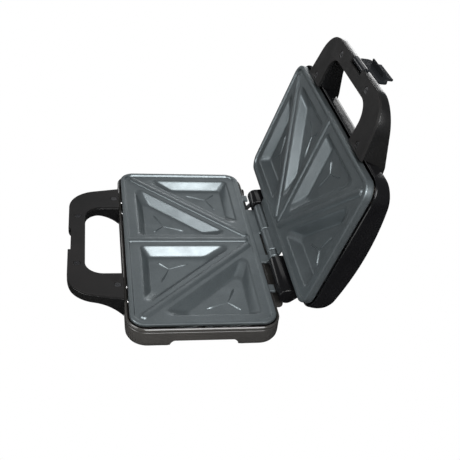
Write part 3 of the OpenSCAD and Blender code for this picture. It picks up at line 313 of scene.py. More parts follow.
base_plastic = plastic(
    "base_plastic_finish", (0.026, 0.025, 0.024), (0.040, 0.038, 0.035), 0.22, 0.000010, coat=0.15)
tub_wall = sheet_part(swept(loop, loop_n, *wall_rows()), wrap_rows=True, wrap_cols=True)
tub_floor = slab_part(
    HOUSE_X - FLOOR_INSET, HOUSE_Y - FLOOR_INSET, HOUSE_R - FLOOR_INSET, FLOOR_LOW, FLOOR_HIGH)
hinge_shelf = moved(slab_part(69, 6, 5, -9.8, -7.4), SHELF_X, SHELF_Y)
foot_blocks = [moved(slab_part(10, 10, 4, FOOT_Z, FLOOR_LOW + 0.5), x * FOOT_X, y * FOOT_Y)
               for x in (-1, 1) for y in (-1, 1)]
make_piece(
    "base_tub", [tub_wall, tub_floor, hinge_shelf] + foot_blocks,
    IN_BASE, "base", base_plastic, ["base_housing"])

# ---- Cast plates ------------------------------------------------------------
# Two die-cast aluminium plates with a dark grey non-stick coat, rim against rim when
# shut. Each has a raised rim, cutting ridges and four pockets, and is screwed on posts.
PLATE_X, PLATE_Y, PLATE_R = 117.0, 60.25, 13.0  # half sizes and corner radius
CLOSED_GAP = 0.9
LAND, POCKET = -1.5, -9.5  # heights under the rim
RIM_W, RIM_SLOPE, RIM_EDGE = 3.3, 1.5, 1.0
RIDGE_HALF, RIDGE_SLOPE = 2.5, 1.7
CREST_FALL, CREST_HALF = 0.05, 3.0  # a ridge's crest falls by this times the distance squared
RIDGE_START, RIDGE_END = 12, 16.5  # a slanting ridge's distances from the plate's corners
WALL_OUT, WALL_RUN, WALL_EASE = 1.4, 9.2, 0.25  # a pocket's wall: start, width, eased share
POCKET_R, POCKET_R_GROWTH = 4.4, 0.1  # corner radius at a pocket's edge, and more per mm inside
FRONT_POCKET = [(9, -46.75), (91.35, -46.75), (9, 38.06)]
REAR_POCKET = [(104.5, -34.46), (104.5, 47.75), (24.68, 47.75)]
FLANGE_Z = -2.9
UPPER_SKIRT = 6.6
BACK_T = 2.6
CREASE_HALF, CREASE_H = 1.25, 1.2
CREASE_SHORT, CREASE_LONG = 14.0, 21.0
FACE_STEP, BACK_STEP, BACK_INSET = 0.6, 2.0, 3.0  # lattice spacings, and the back's margin
HINGE = np.array([72.7, 1.5])  # the pin's axis in (Y, Z)
BARREL_R = 5
WEB_Y = 59.3
LEFT_KNUCKLE, MIDDLE_KNUCKLE, RIGHT_KNUCKLE = (-50, -9.55), (-8.95, 24.2), (24.8, 34)  # in X
TAB, TAB_Y, LUG_Y = (-49.5, 36), 66.1, 65.1
LUG_X, LUG_HALF = 72, 4.5
BAR_START, KNUCKLE_EASE = 58, 1.1
DIAG = np.array([PLATE_X, -2 * PLATE_Y]) / math.hypot(PLATE_X, 2 * PLATE_Y)


def slanting_ridge(mirror):
    """Ends of a ridge from the middle of the rear edge to a front corner."""
    start = (mirror * DIAG[0] * RIDGE_START, PLATE_Y + DIAG[1] * RIDGE_START)
    end = (mirror * (PLATE_X - DIAG[0] * RIDGE_END), -PLATE_Y - DIAG[1] * RIDGE_END)
    return start, end


RIDGES = [((0, -58), (0, 50.5)), slanting_ridge(1), slanting_ridge(-1)]


def eased(t):
    """Smooth step from 0 to 1."""
    t = np.clip(t, 0, 1)
    return t * t * (3 - 2 * t)


def depth_inside(x, y):
    """Distance inwards from the plate's rounded outline: the corner radius less the distance
    from the corner's centre, or the distance to the nearer side away from the corners."""
    qx, qy = np.abs(x) - (PLATE_X - PLATE_R), np.abs(y) - (PLATE_Y - PLATE_R)
    corner = np.hypot(np.maximum(qx, 0), np.maximum(qy, 0))
    return PLATE_R - corner - np.minimum(np.maximum(qx, qy), 0)


def to_segment(x, y, a, b):
    """Distance from points to the segment between a and b: to the foot of the perpendicular,
    kept between the ends."""
    d = np.subtract(b, a)
    t = np.clip(((x - a[0]) * d[0] + (y - a[1]) * d[1]) / (d @ d + 1e-9), 0, 1)
    return np.hypot(x - a[0] - t * d[0], y - a[1] - t * d[1])


def twice_area(p):
    """Twice a triangle's signed area, positive where its corners run anticlockwise."""
    (ax, ay), (bx, by), (cx, cy) = p
    return (bx - ax) * (cy - ay) - (by - ay) * (cx - ax)


def triangle_facts(p):
    """A triangle's incentre, which is its corners weighted by the sides opposite them, and its
    inradius, which is twice its area over its perimeter."""
    p = np.asarray(p, float)
    sides = np.array([np.linalg.norm(p[(i + 1) % 3] - p[(i + 2) % 3]) for i in range(3)])
    return (p * sides[:, None]).sum(0) / sides.sum(), abs(twice_area(p)) / sides.sum()


def pocket_inset(x, y, p):
    """How far a point lies inside a pocket's edge, 9 mm at most. The contour at inset s is the
    triangle shrunk about its incentre by s + r(s) and grown again by discs of radius r(s), so
    its corners are round; s is found by halving."""
    centre, inradius = triangle_facts(p)
    facing = np.sign(twice_area(p))
    low, high = np.full(x.shape, -4.0), np.full(x.shape, 9.0)
    for _ in range(16):
        s = (low + high) / 2
        r = POCKET_R + POCKET_R_GROWTH * s
        k = 1 - (s + r) / inradius
        q = [(centre[0] + (vx - centre[0]) * k, centre[1] + (vy - centre[1]) * k) for vx, vy in p]
        gap, within = np.full(x.shape, 1e9), np.ones(x.shape, bool)
        for (ax, ay), (bx, by) in zip(q, q[1:] + q[:1]):
            dx, dy = bx - ax, by - ay
            t = np.clip(((x - ax) * dx + (y - ay) * dy) / (dx * dx + dy * dy + 1e-9), 0, 1)
            gap = np.minimum(gap, np.hypot(x - ax - t * dx, y - ay - t * dy))
            within &= (dx * (y - ay) - dy * (x - ax)) * facing > 0
        outside = np.where(within, -gap, gap) > r
        high = np.where(outside, s, high)
        low = np.where(outside, low, s)
    return (low + high) / 2


def pocket_depth(s):
    """Depth below the land at inset s: a straight wall 49 degrees steep, with a parabola at
    each end that eases it into the land and into the floor."""
    t = np.clip((s + WALL_OUT) / WALL_RUN, 0, 1)
    bent = 2 * WALL_EASE * (1 - WALL_EASE)
    start, end = t * t / bent, 1 - (1 - t) ** 2 / bent
    straight = (t - WALL_EASE / 2) / (1 - WALL_EASE)
    return (LAND - POCKET) * np.select([t < WALL_EASE, t > 1 - WALL_EASE], [start, end], straight)


def pockets_at(x, y):
    """Depth of the four pockets below the land; the plate is symmetric about its middle."""
    ax = np.abs(x)
    depth = np.zeros(x.shape)
    for p in (FRONT_POCKET, REAR_POCKET):
        (x0, y0), (x1, y1) = np.min(p, axis=0) - 2, np.max(p, axis=0) + 2
        near = (ax > x0) & (ax < x1) & (y > y0) & (y < y1)
        depth[near] = np.maximum(depth[near], pocket_depth(pocket_inset(ax[near], y[near], p)))
    return depth


def plate_face(x, y):
    """Height of the cooking face: the rim with a round edge, a step down to the land, ridges
    with a slightly domed crest, and the pockets."""
    d = depth_inside(x, y)
    z = LAND * eased((d - RIM_W) / RIM_SLOPE)
    for a, b in RIDGES:
        off = to_segment(x, y, a, b)
        crest = -CREST_FALL * np.minimum(off, CREST_HALF) ** 2
        z = np.maximum(z, LAND * eased((off - RIDGE_HALF) / RIDGE_SLOPE) + crest)
    edge = np.clip(RIM_EDGE ** 2 - (RIM_EDGE - np.clip(d, 0, RIM_EDGE)) ** 2, 0, None)
    return z - RIM_EDGE + np.sqrt(edge) - pockets_at(x, y)


def plate_grid(step, inset):
    """Plan points of a lattice that fills the rounded outline: rows crowd towards the ends of
    the corners, columns towards the sides."""
    r = PLATE_R - inset
    straight = PLATE_Y - PLATE_R
    margin = 6
    turn = straight + r * np.sin(np.linspace(0, math.pi / 2, int(r / step * 1.3) + 2))
    level = np.linspace(-straight, straight, int(2 * straight / step))
    rows = np.concatenate([-turn[:0:-1], level, turn[1:]])
    past = np.clip(np.abs(rows) - straight, 0, None)
    wide = PLATE_X - PLATE_R + np.sqrt(np.clip(r * r - past ** 2, 0, None))
    share = margin / PLATE_X
    fine = np.linspace(0, share, max(3, int(margin / step * 1.5)))
    coarse = np.linspace(-1 + share, 1 - share, int(2 * (PLATE_X - margin) / step))
    cols = np.concatenate([-1 + fine, coarse[1:-1], 1 - fine[::-1]])
    return wide[:, None] * cols[None], np.repeat(rows[:, None], len(cols), 1)


def around(grid):
    """The border of a lattice, anticlockwise."""
    return np.concatenate([grid[0, :-1], grid[:-1, -1], grid[-1, :0:-1], grid[:0:-1, 0]])


def plate_parts(skirt=None):
    """The casting: its cooking face, the border that hangs from it as a thin flange or a deep
    skirt, and its hollow back, which follows the pockets."""
    x, y = plate_grid(FACE_STEP, 0.0)
    face = np.stack([x, y, plate_face(x, y)], -1)
    rim = around(face)
    straight = np.array([PLATE_X - PLATE_R, PLATE_Y - PLATE_R])
    n = rim[:, :2] - np.clip(rim[:, :2], -straight, straight)
    n /= np.linalg.norm(n, axis=1)[:, None]
    low = -skirt if skirt else FLANGE_Z
    inset = [0, 0, 0, 0.15, 0.5]
    z = [rim[:, 2].mean(), (low - 1) / 2, low + 0.5, low + 0.15, low]
    if skirt:
        inset += [2.0, 2.3, 2.4, 2.4, 3.4]
        z += [low, low + 0.15, low + 0.5, -3.2, FLANGE_Z]
    else:
        inset += [3.4, 3.4]
        z += [low, low + 0.4]
    border = swept(rim[:, :2], n, inset, z)
    bx, by = plate_grid(BACK_STEP, BACK_INSET)
    back = np.stack([bx, by, LAND - BACK_T - pockets_at(bx, by) * 0.97], -1)
    hung = around(back)
    web = np.stack([hung, hung + np.array([0, 0, 1.6])])
    return [sheet_part(face), sheet_part(border, wrap_cols=True, flip=True),
            sheet_part(back, flip=True), sheet_part(web, wrap_cols=True)]


def crease_parts(p):
    """Three thin rays across a pocket's floor, from its incentre towards its corners, as
    raised lines with sloping sides and tapered ends. The ray to the right-angled corner,
    which lies 1.41 inradii away, is the short one."""
    centre, inradius = triangle_facts(p)
    s = np.linspace(0, 1, 14)
    taper = np.minimum(1, np.minimum(s + 0.25, (1 - s) * 5))[:, None]
    a = np.radians(np.linspace(0, 180, 9))[None]
    across = CREASE_HALF * np.cos(a) * taper
    height = POCKET - 0.1 + CREASE_H * (1 - np.abs(np.cos(a)) ** 1.3) * taper
    parts = []
    for v in np.asarray(p, float):
        away = np.linalg.norm(v - centre)
        reach = CREASE_SHORT if away < 1.6 * inradius else CREASE_LONG
        ray = (v - centre) / away
        spine = centre[None] + (s * reach)[:, None] * ray[None]
        side = np.array([ray[1], -ray[0]])
        points = np.concatenate([spine[:, None] + across[..., None] * side, height[..., None]], -1)
        parts.append(sheet_part(points))
    return parts


def prism(outline, x0, x1, ease):
    """A closed (Y, Z) outline carried along X, its ends rounded over by ease."""
    outline = np.asarray(outline, float)
    t = np.roll(outline, -1, 0) - np.roll(outline, 1, 0)
    n = np.stack([t[:, 1], -t[:, 0]], -1)
    n /= np.linalg.norm(n, axis=1)[:, None] + 1e-9
    a = np.linspace(0, math.pi / 2, 5)
    xs = np.concatenate([x0 + ease * (1 - np.cos(a)), x1 - ease * (1 - np.cos(a[::-1]))])
    inset = np.concatenate([ease * (1 - np.sin(a)), ease * (1 - np.sin(a[::-1]))])
    flat = outline[None] - inset[:, None, None] * n[None]
    return capped_part(np.concatenate([np.repeat(xs[:, None, None], len(outline), 1), flat], -1))


def hinge_arc(radius, start, stop, turns):
    """Points of a circular arc about the hinge axis, in (Y, Z), angles in radians."""
    a = np.linspace(start, stop, turns)
    return HINGE + radius * np.stack([np.cos(a), np.sin(a)], -1)


def touch_angle(p, radius, sign):
    """Angle at which a line from p touches a circle about the hinge axis: the direction of p,
    turned by the arc cosine of the radius over its distance."""
    v = np.asarray(p) - HINGE
    return math.atan2(v[1], v[0]) + sign * math.acos(radius / np.linalg.norm(v))


def knuckle_outline(flat_z, far_z):
    """A hinge knuckle in (Y, Z): flat on one side, round over the barrel, and running off it
    on the far side to the plate's edge."""
    far, flat = (WEB_Y, far_z), (WEB_Y, flat_z)
    side = 1 if far_z < flat_z else -1
    run_off = touch_angle(far, BARREL_R, side)
    level = math.pi - math.asin((flat_z - HINGE[1]) / BARREL_R)
    if side > 0:
        stop = level if level > run_off else level + 2 * math.pi
        return np.concatenate([[far], hinge_arc(BARREL_R, run_off, stop, 40), [flat]])
    return np.concatenate([[flat], hinge_arc(BARREL_R, level - 2 * math.pi, run_off, 40), [far]])


def bar_outline(y1, z0, z1):
    """A bar along a plate's rear edge, out to y1, in (Y, Z)."""
    return [(BAR_START, z0), (y1, z0), (y1, z1), (BAR_START, z1)]


def coating():
    """Non-stick coat: a cool dark grey with a metallic sheen, fine speckle, faint pan wear and
    a sprayed surface."""
    mat, nt, shader, coords = new_material("non_stick_coat", 0.4, metallic=0.75)
    speckle = noise(nt, coords, 1500, 2, 0.4)
    wear = noise(nt, coords, 26, 6, 0.6)
    mix = nt.nodes.new("ShaderNodeMix")
    mix.data_type = "RGBA"
    mix.blend_type = "MULTIPLY"
    mix.inputs["Factor"].default_value = 1.0
    specks = shades(nt, speckle, (0.80, 0.82, 0.83), (1.0, 1.0, 1.0), 0.35, 0.68)
    nt.links.new(specks, mix.inputs["A"])
    worn = shades(nt, wear, (0.140, 0.160, 0.168), (0.170, 0.192, 0.200))
    nt.links.new(worn, mix.inputs["B"])
    nt.links.new(mix.outputs["Result"], shader.inputs["Base Color"])
    rubbed = noise(nt, coords, 90, 5, 0.6)
    nt.links.new(spread(nt, rubbed, 0.34, 0.44), shader.inputs["Roughness"])
    spray, ripple = noise(nt, coords, 900, 3), noise(nt, coords, 45, 2)
    raised(nt, shader, (spray, 0.35, 0.00003), (ripple, 0.08, 0.0003))
    return mat


coat = coating()
creases = [part for p in (FRONT_POCKET, REAR_POCKET) for m in (1, -1)
           for part in crease_parts([(m * a, b) for a, b in p])]
lower_knuckle = knuckle_outline(-0.2, -2.7)
lower_hinge_row = [prism(lower_knuckle, *LEFT_KNUCKLE, KNUCKLE_EASE),
                   prism(lower_knuckle, *RIGHT_KNUCKLE, KNUCKLE_EASE),
                   prism(bar_outline(TAB_Y, -2.5, -0.4), *TAB, 0.4)]
stop_lugs = [prism(bar_outline(LUG_Y, -2.7, -0.8), x - LUG_HALF, x + LUG_HALF, 0.3)
             for x in (LUG_X, -LUG_X)]
make_piece(
    "lower_plate_casting", plate_parts() + creases + lower_hinge_row + stop_lugs,
    IN_BASE, "base", coat, ["lower_plate"], outward=False)


def opened(joint):
    """The turn about a joint's axis from the far end of its range back to rest."""
    place = Matrix.Translation(joint["pos_m"])
    turn = Matrix.Rotation(math.radians(-joint["range_deg"][1]), 4, joint["axis"])
    return place @ turn @ place.inverted()


joints = {j["name"]: j for j in frame["joints"]}
IN_LID = opened(joints["lid_hinge"]) @ IN_BASE

# The upper casting is the same, turned over, with a skirt and the middle knuckle
over, lift = np.array([1.0, 1.0, -1.0]), np.array([0, 0, CLOSED_GAP])
turned_over = [
    (v * over + lift, quads[:, ::-1]) for v, quads in plate_parts(UPPER_SKIRT) + creases]
upper_hinge_row = [prism(knuckle_outline(1.1, 3.8), *MIDDLE_KNUCKLE, KNUCKLE_EASE),
                   prism(bar_outline(TAB_Y, 1.3, 3.4), *TAB, 0.4)]
make_piece(
    "upper_plate_casting", turned_over + upper_hinge_row,
    IN_LID, "lid", coat, ["upper_plate"], outward=False)

# ---- Lid housing ------------------------------------------------------------
# The domed cover behind the upper plate, high-gloss black plastic, with two hinge
# covers moulded on its rear wall. Five screws inside hold the plate's posts to it.
CROWN_Y, CROWN_R, CROWN_Z = 1.0, 245.0, -216.6  # centre and radius of the crown's arc
LID_RIM = 9.1  # centre height of the round rim
EDGE_FACING = [-1, -0.6, 0, 0.5, 1]  # the wall's outward Y, from front to rear
EDGE_RADIUS = [3.0, 3.0, 3.6, 6.0, 10.0]  # and the edge fillet's radius there
COVER_R, COVER_EASE = 7.0, 1.2
COVER_TOP, COVER_LOW = (62.25, 16.9), (62.25, 9.1)  # ends of the arm in (Y, Z)
RIGHT_COVER, LEFT_COVER = (38, 88), (-74, -51.5)  # in X


def roof(y):
    """Height of the crown: a circular arc from front to rear, level across."""
    return CROWN_Z + np.sqrt(CROWN_R ** 2 - (y - CROWN_Y) ** 2)


def dome_rows(inset):
    """A skin of the lid's shell, inset from the outer face: its wall up from the rim, an edge
    fillet that is tight in front and wide behind, and the crown drawn in to its middle."""
    points, normals = outline_loop(HOUSE_X - inset, HOUSE_Y - inset, HOUSE_R - inset, turns=20)
    r = np.interp(normals[:, 1], EDGE_FACING, EDGE_RADIUS) - inset * 0.5
    edge = roof(points[:, 1]) - inset
    rows = []
    for h in np.linspace(0, 1, 5)[:-1]:
        rows.append(np.column_stack([points, LID_RIM + (edge - r - LID_RIM) * h]))
    for turn in np.linspace(0, math.pi / 2, 9):
        flat = points - (r * (1 - np.cos(turn)))[:, None] * normals
        rows.append(np.column_stack([flat, roof(flat[:, 1]) - inset - r * (1 - np.sin(turn))]))
    last = rows[-1][:, :2]
    for k in np.linspace(1, 0, 16)[1:]:
        flat = last * k
        rows.append(np.column_stack([flat, roof(flat[:, 1]) - inset]))
    return np.array(rows)


def cover_outline(top, low):
    """A hinge cover's barrel with an arm that runs back to two points at the lid's wall, in
    (Y, Z)."""
    start, stop = touch_angle(low, COVER_R, 1), touch_angle(top, COVER_R, -1)
    while stop < start:
        stop += 2 * math.pi
    return np.concatenate([[low], hinge_arc(COVER_R, start, stop, 48), [top]])


lid_loop, lid_loop_n = outline_loop(HOUSE_X, HOUSE_Y, HOUSE_R, turns=20)
under = np.radians(np.linspace(0, 180, 13))
rim_round = swept(
    lid_loop, lid_loop_n, LIP_R - LIP_R * np.cos(under), LID_RIM - LIP_R * np.sin(under))
lid_plastic = plastic(
    "lid_plastic_finish", (0.0035, 0.0035, 0.004), (0.006, 0.006, 0.0065), 0.16, 0.000004,
    coat=0.08, grain_scale=900, specular=0.22)
cover = cover_outline(COVER_TOP, COVER_LOW)
make_piece(
    "lid_shell",
    [sheet_part(dome_rows(0), wrap_cols=True), sheet_part(rim_round, wrap_cols=True, flip=True),
     sheet_part(dome_rows(WALL), wrap_cols=True, flip=True),
     prism(cover, *RIGHT_COVER, COVER_EASE), prism(cover, *LEFT_COVER, COVER_EASE)],
    IN_LID, "lid", lid_plastic, ["lid_housing"])

# ---- Handles ----------------------------------------------------------------
# Two loop handles of gloss black plastic, screwed to the housings from inside. The
# upper one swells onto the crown in two wedges and is notched for the latch.
FRONT_Y, ROOT_X = -110.45, 84.5
CORNER_X, CORNER_R = 52.0, 28
GRIP_X, GRIP_R = 51.5, 16
BAR_Y = FRONT_Y + 15  # the grip opening's front edge
WEDGE = 18
CATCH_NOTCH, LATCH_NOTCH = (16.5, 2.3), (14.2, 5.3)  # half widths and depths
UNDER_Z, UNDER_R, UNDER_EDGE = -9.3, 36.0, 4
UNDER_START, UNDER_RUN = 21.5, 25.5  # where the hollow under the lower handle starts, its length
SEAT_LOW, SEAT_HIGH = -1.4, 3.2  # seats of the screwed faces
STATIONS = 64  # along half a handle
CLIMB_Z, CLIMB = 9.6, np.tan(np.radians(17.2))


def arc(cx, cy, r, a0, a1, n):
    """Points of a circular arc, angles in degrees."""
    a = np.radians(np.linspace(a0, a1, n))
    return np.stack([cx + r * np.cos(a), cy + r * np.sin(a)], -1)


def spaced(points, n):
    """n points spaced evenly by length along a polyline."""
    s = np.concatenate([[0], np.cumsum(np.linalg.norm(np.diff(points, axis=0), axis=1))])
    t = np.linspace(0, s[-1], n)
    return np.stack([np.interp(t, s, points[:, k]) for k in (0, 1)], -1)


def handle_sides(notch, wedged):
    """Inner and outer edge points of a loop handle from its right root to its left one,
    station by station. The outer edge is a line that runs on as an arc into the front, the
    inner one a rounded rectangle, and the notch is a jump between two stations."""
    notch_x, notch_y = notch[0], FRONT_Y + notch[1]
    root, c = np.array([ROOT_X, -HOUSE_Y]), np.array([CORNER_X, FRONT_Y + CORNER_R])
    v = root - c
    start = math.degrees(math.atan2(v[1], v[0]) - math.acos(CORNER_R / np.linalg.norm(v)))
    outer = np.concatenate(
        [[root], arc(*c, CORNER_R, start, -90, 40), [(notch_x + 6, FRONT_Y)]])
    grip_end = BAR_Y + GRIP_R
    inner = np.concatenate(
        [[(GRIP_X, -HOUSE_Y), (GRIP_X, grip_end)],
         arc(GRIP_X - GRIP_R, grip_end, GRIP_R, 0, -90, 30), [(notch_x + 6, BAR_Y)]])
    half_in, half_out = spaced(inner, STATIONS), spaced(outer, STATIONS)
    if wedged:
        ys = np.linspace(WEDGE - HOUSE_Y, -HOUSE_Y, 10)[:-1]
        half_in = np.concatenate([np.column_stack([np.full_like(ys, GRIP_X), ys]), half_in])
        half_out = np.concatenate([np.column_stack([np.full_like(ys, ROOT_X), ys]), half_out])
    xs = [notch_x + 0.8, notch_x, notch_x - 0.01, 0]
    step_in = np.column_stack([xs, [BAR_Y] * 4])
    step_out = np.column_stack([xs, [FRONT_Y, FRONT_Y + 0.7, notch_y, notch_y]])
    flipped = np.array([-1.0, 1.0])
    halves = np.concatenate([half_in, step_in]), np.concatenate([half_out, step_out])
    return [np.concatenate([half, (half * flipped)[-2::-1]]) for half in halves]


def handle_part(low, high, r_low, r_high, notch, wedged=False):
    """A loop handle: a four-sided section carried round the loop between two surfaces low(y)
    and high(y), its edges rounded by r_low and r_high."""
    inner, outer = handle_sides(notch, wedged)
    width = np.linalg.norm(outer - inner, axis=1)
    rl, rh = np.minimum(r_low, width * 0.3), np.minimum(r_high, width * 0.3)
    corner = 1 - np.sin(np.linspace(0, math.pi / 2, 6))[:, None]
    turned_in = corner[::-1]
    middle = np.linspace(0, 1, 9)[1:-1, None]
    none = 0 * middle * width
    low_in = np.concatenate([rl * turned_in, rl + (width - 2 * rl) * middle, width - rl * corner])
    high_in = np.concatenate(
        [width - rh * turned_in, width - rh - (width - 2 * rh) * middle, rh * corner])
    low_rise = np.concatenate([rl * corner, none, rl * turned_in])
    high_rise = np.concatenate([rh * corner, none, rh * turned_in])
    direction = (outer - inner) / width[:, None]
    low_flat, high_flat = (inner + direction * across[..., None] for across in (low_in, high_in))
    low_z, high_z = low(low_flat[..., 1]) + low_rise, high(high_flat[..., 1]) - high_rise
    points = np.concatenate([np.dstack([low_flat, low_z]), np.dstack([high_flat, high_z])])
    return capped_part(points.transpose(1, 0, 2))


def lower_under(y):
    """Underside of the lower handle: level under the bar, then a round hollow down to the
    root, with a round front edge."""
    t = np.clip(y - FRONT_Y - UNDER_START, 0, UNDER_RUN)
    f = np.clip(FRONT_Y + UNDER_EDGE - y, 0, UNDER_EDGE)
    edge = UNDER_EDGE - np.sqrt(np.clip(UNDER_EDGE ** 2 - f ** 2, 0, None))
    return UNDER_Z - UNDER_R + np.sqrt(UNDER_R ** 2 - t ** 2) + edge


def lower_over(y):
    """Level seat of the lower handle's screwed face."""
    return np.full_like(y, SEAT_LOW)


def upper_over(y):
    """Outer face of the upper handle: it climbs at 17 degrees, then sinks into the crown as a
    wedge."""
    t = np.clip(y + HOUSE_Y, 0, WEDGE)
    sinking = np.interp(t, [0, 3, 6, 9, 12, 15, 18], [0, 0.6, 0.9, 0.8, 0.4, -0.4, -1.4])
    return CLIMB_Z + CLIMB * (np.minimum(y, -HOUSE_Y) - FRONT_Y) + sinking


def upper_under(y):
    """Inner face of the upper handle: the level seat of its screwed face, and inside the
    crown a surface 8 mm under the outer one."""
    return np.where(y > -HOUSE_Y - 0.05, upper_over(y) - 8, SEAT_HIGH)


handle_plastic = plastic(
    "handle_plastic_finish", (0.004, 0.0042, 0.0045), (0.007, 0.0068, 0.0066), 0.24, 0.000002,
    coat=0.25, grain_scale=1400)
make_piece(
    "lower_handle_loop", [handle_part(lower_under, lower_over, 1.6, 0.25, CATCH_NOTCH)],
    IN_BASE, "base", handle_plastic, ["lower_handle"])
make_piece(
    "upper_handle_loop",
    [handle_part(upper_under, upper_over, 0.25, 1.5, LATCH_NOTCH, wedged=True)],
    IN_LID, "lid", handle_plastic, ["upper_handle"])

# ---- Screwed handle faces ---------------------------------------------------
# A flat satin black cover closes the inner face of each handle. Four cross-head
# screws hold it; the CAD cover keeps its countersinks and gets eased edges.


def eased_copy(node, name, width, body, material):
    """A CAD node's mesh, welded and freed of its flat seams, with its edges bevelled."""
    mesh = frame["nodes"][node].data.copy()
    bm = bmesh.new()
    bm.from_mesh(mesh)
    bmesh.ops.remove_doubles(bm, verts=bm.verts, dist=2e-6)
    bmesh.ops.dissolve_limit(bm, angle_limit=math.radians(1.0), verts=bm.verts, edges=bm.edges)
    bmesh.ops.recalc_face_normals(bm, faces=bm.faces)
    bm.to_mesh(mesh)
    bm.free()
    mesh.name = name
    mesh.shade_smooth()
    mesh.set_sharp_from_angle(angle=math.radians(30))
    mesh.materials.clear()
    mesh.materials.append(material)
    piece = bpy.data.objects.new(name, mesh)
    bpy.context.scene.collection.objects.link(piece)
    bevel = piece.modifiers.new("edges", "BEVEL")
    bevel.width = width
    bevel.segments = 2
    bevel.limit_method = "ANGLE"
    bevel.angle_limit = math.radians(35)
    bevel.harden_normals = True
    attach(piece, body)
    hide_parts(node)


face_plastic = plastic(
    "handle_face_finish", (0.009, 0.009, 0.009), (0.014, 0.013, 0.013), 0.48, 0.00002,
    grain_scale=2200, specular=0.18)
for which, body in (("lower", "base"), ("upper", "lid")):
    eased_copy(f"{which}_handle_cover", f"{which}_handle_face", 0.3 * MM, body,
               face_plastic)

# ---- Latch ------------------------------------------------------------------
# The folding latch lever, gloss black plastic, swung out at rest. It turns on a
# steel pin across the notch of the upper handle.
latch_plastic = plastic(
    "latch_plastic_finish", (0.010, 0.011, 0.013), (0.016, 0.018, 0.020), 0.16, 0.000005,
    grain_scale=1400, specular=0.3)
eased_copy("latch_lever", "latch_lever_eased", 0.35 * MM, "latch", latch_plastic)

# ---- Metal ------------------------------------------------------------------
# Plated screws, straps, clips and pins, the heat-tinted element tubes and the mill-
# finish reflector sheets. They keep their CAD shape and sit where the CAD puts them.


def dress(material, slot, *nodes):
    """Gives CAD nodes a material, with smooth shading up to 30 degrees."""
    for n in nodes:
        o = frame["nodes"][n]
        o.data.materials.clear()
        o.data.materials.append(material)
        o.data.shade_smooth()
        o.data.set_sharp_from_angle(angle=math.radians(30))


def metal(name, dark, light, rough, stretch, tint_scale=40):
    """Drawn or rolled metal: fine lines along one axis, a cloudy tint and small marks."""
    mat, nt, shader, coords = new_material(name, rough, metallic=1.0)
    tint = noise(nt, coords, tint_scale, 5)
    nt.links.new(shades(nt, tint, dark, light), shader.inputs["Base Color"])
    lines = noise(nt, coords, 900, 3, 0.6, stretch=stretch)
    nt.links.new(spread(nt, lines, rough * 0.75, rough * 1.35), shader.inputs["Roughness"])
    raised(nt, shader, (lines, 0.3, 0.00001), (noise(nt, coords, 300, 4), 0.2, 0.00002))
    return mat


bright = metal("plated_steel", (0.42, 0.43, 0.44), (0.62, 0.62, 0.62), 0.24, (0.05, 1, 1))
dress(bright, "bright_steel",
      "lower_element_straps", "lower_plate_screws", "lower_handle_bolts", "hinge_pin",
      "hinge_pin_clips", "upper_element_straps", "upper_plate_screws", "upper_handle_bolts",
      "latch_pin")
blackened = metal(
    "blackened_steel", (0.07, 0.07, 0.075), (0.15, 0.15, 0.155), 0.34, (1, 1, 0.2))
dress(blackened, "dark_steel", "lower_handle_screws", "upper_handle_screws")
tinted = metal(
    "element_sheath", (0.16, 0.12, 0.10), (0.34, 0.29, 0.25), 0.42, (1, 1, 1), tint_scale=90)
dress(tinted, "element_tube", "lower_element", "upper_element")
mill = metal("mill_sheet", (0.62, 0.62, 0.62), (0.80, 0.80, 0.79), 0.34, (0.03, 1, 1))
dress(mill, "reflector_sheet", "lower_reflector", "upper_reflector")
can = metal("thermostat_metal", (0.50, 0.49, 0.46), (0.70, 0.68, 0.64), 0.35, (1, 0.1, 1))
dress(can, "thermostat_can", "lower_thermostat", "upper_thermostat", "thermal_fuse")

# ---- Rubber, sleeve and terminal block --------------------------------------
# Soft black pads under the corners, the cord gland in the rear wall, the glass-fibre
# lead sleeve at the hinge and the ivory terminal block on the floor.
rubber = plastic(
    "soft_rubber", (0.018, 0.018, 0.018), (0.030, 0.029, 0.028), 0.7, 0.00005,
    grain_scale=1500, specular=0.3)
dress(rubber, "rubber", "rubber_feet", "cord_gland")
ivory = plastic("ivory_plastic", (0.62, 0.58, 0.48), (0.74, 0.70, 0.60), 0.5, 0.00002)
dress(ivory, "terminal_plastic", "terminal_block")


def braided():
    """Black braided glass fibre: two crossed waves round the sleeve."""
    mat, nt, shader, coords = new_material("glass_fibre_braid", 0.75)
    heights = []
    for tilt in (0.8, -0.8):
        m = nt.nodes.new("ShaderNodeMapping")
        m.inputs["Rotation"].default_value = (0, 0, tilt)
        w = nt.nodes.new("ShaderNodeTexWave")
        w.inputs["Scale"].default_value = 420
        w.inputs["Distortion"].default_value = 0.6
        nt.links.new(coords, m.inputs["Vector"])
        nt.links.new(m.outputs["Vector"], w.inputs["Vector"])
        heights.append((w.outputs["Fac"], 0.5, 0.0001))
    tint = noise(nt, coords, 500, 4)
    threads = shades(nt, tint, (0.020, 0.020, 0.021), (0.045, 0.045, 0.047))
    nt.links.new(threads, shader.inputs["Base Color"])
    raised(nt, shader, *heights)
    return mat


dress(braided(), "lead_glass_fibre", "lead_sleeve")

# ---- Indicator lights -------------------------------------------------------
# A red and a green lens pressed into the crown, translucent plastic, each with a
# small neon lamp behind it.


def lens_material(name, rgb, deep):
    """Tinted translucent plastic with faint flow lines."""
    mat, nt, shader, coords = new_material(name, 0.12, coat=0.3)
    shader.inputs["Transmission Weight"].default_value = 0.55
    nt.links.new(shades(nt, noise(nt, coords, 240, 3), deep, rgb), shader.inputs["Base Color"])
    raised(nt, shader, (noise(nt, coords, 700, 2), 0.2, 0.00002))
    return mat


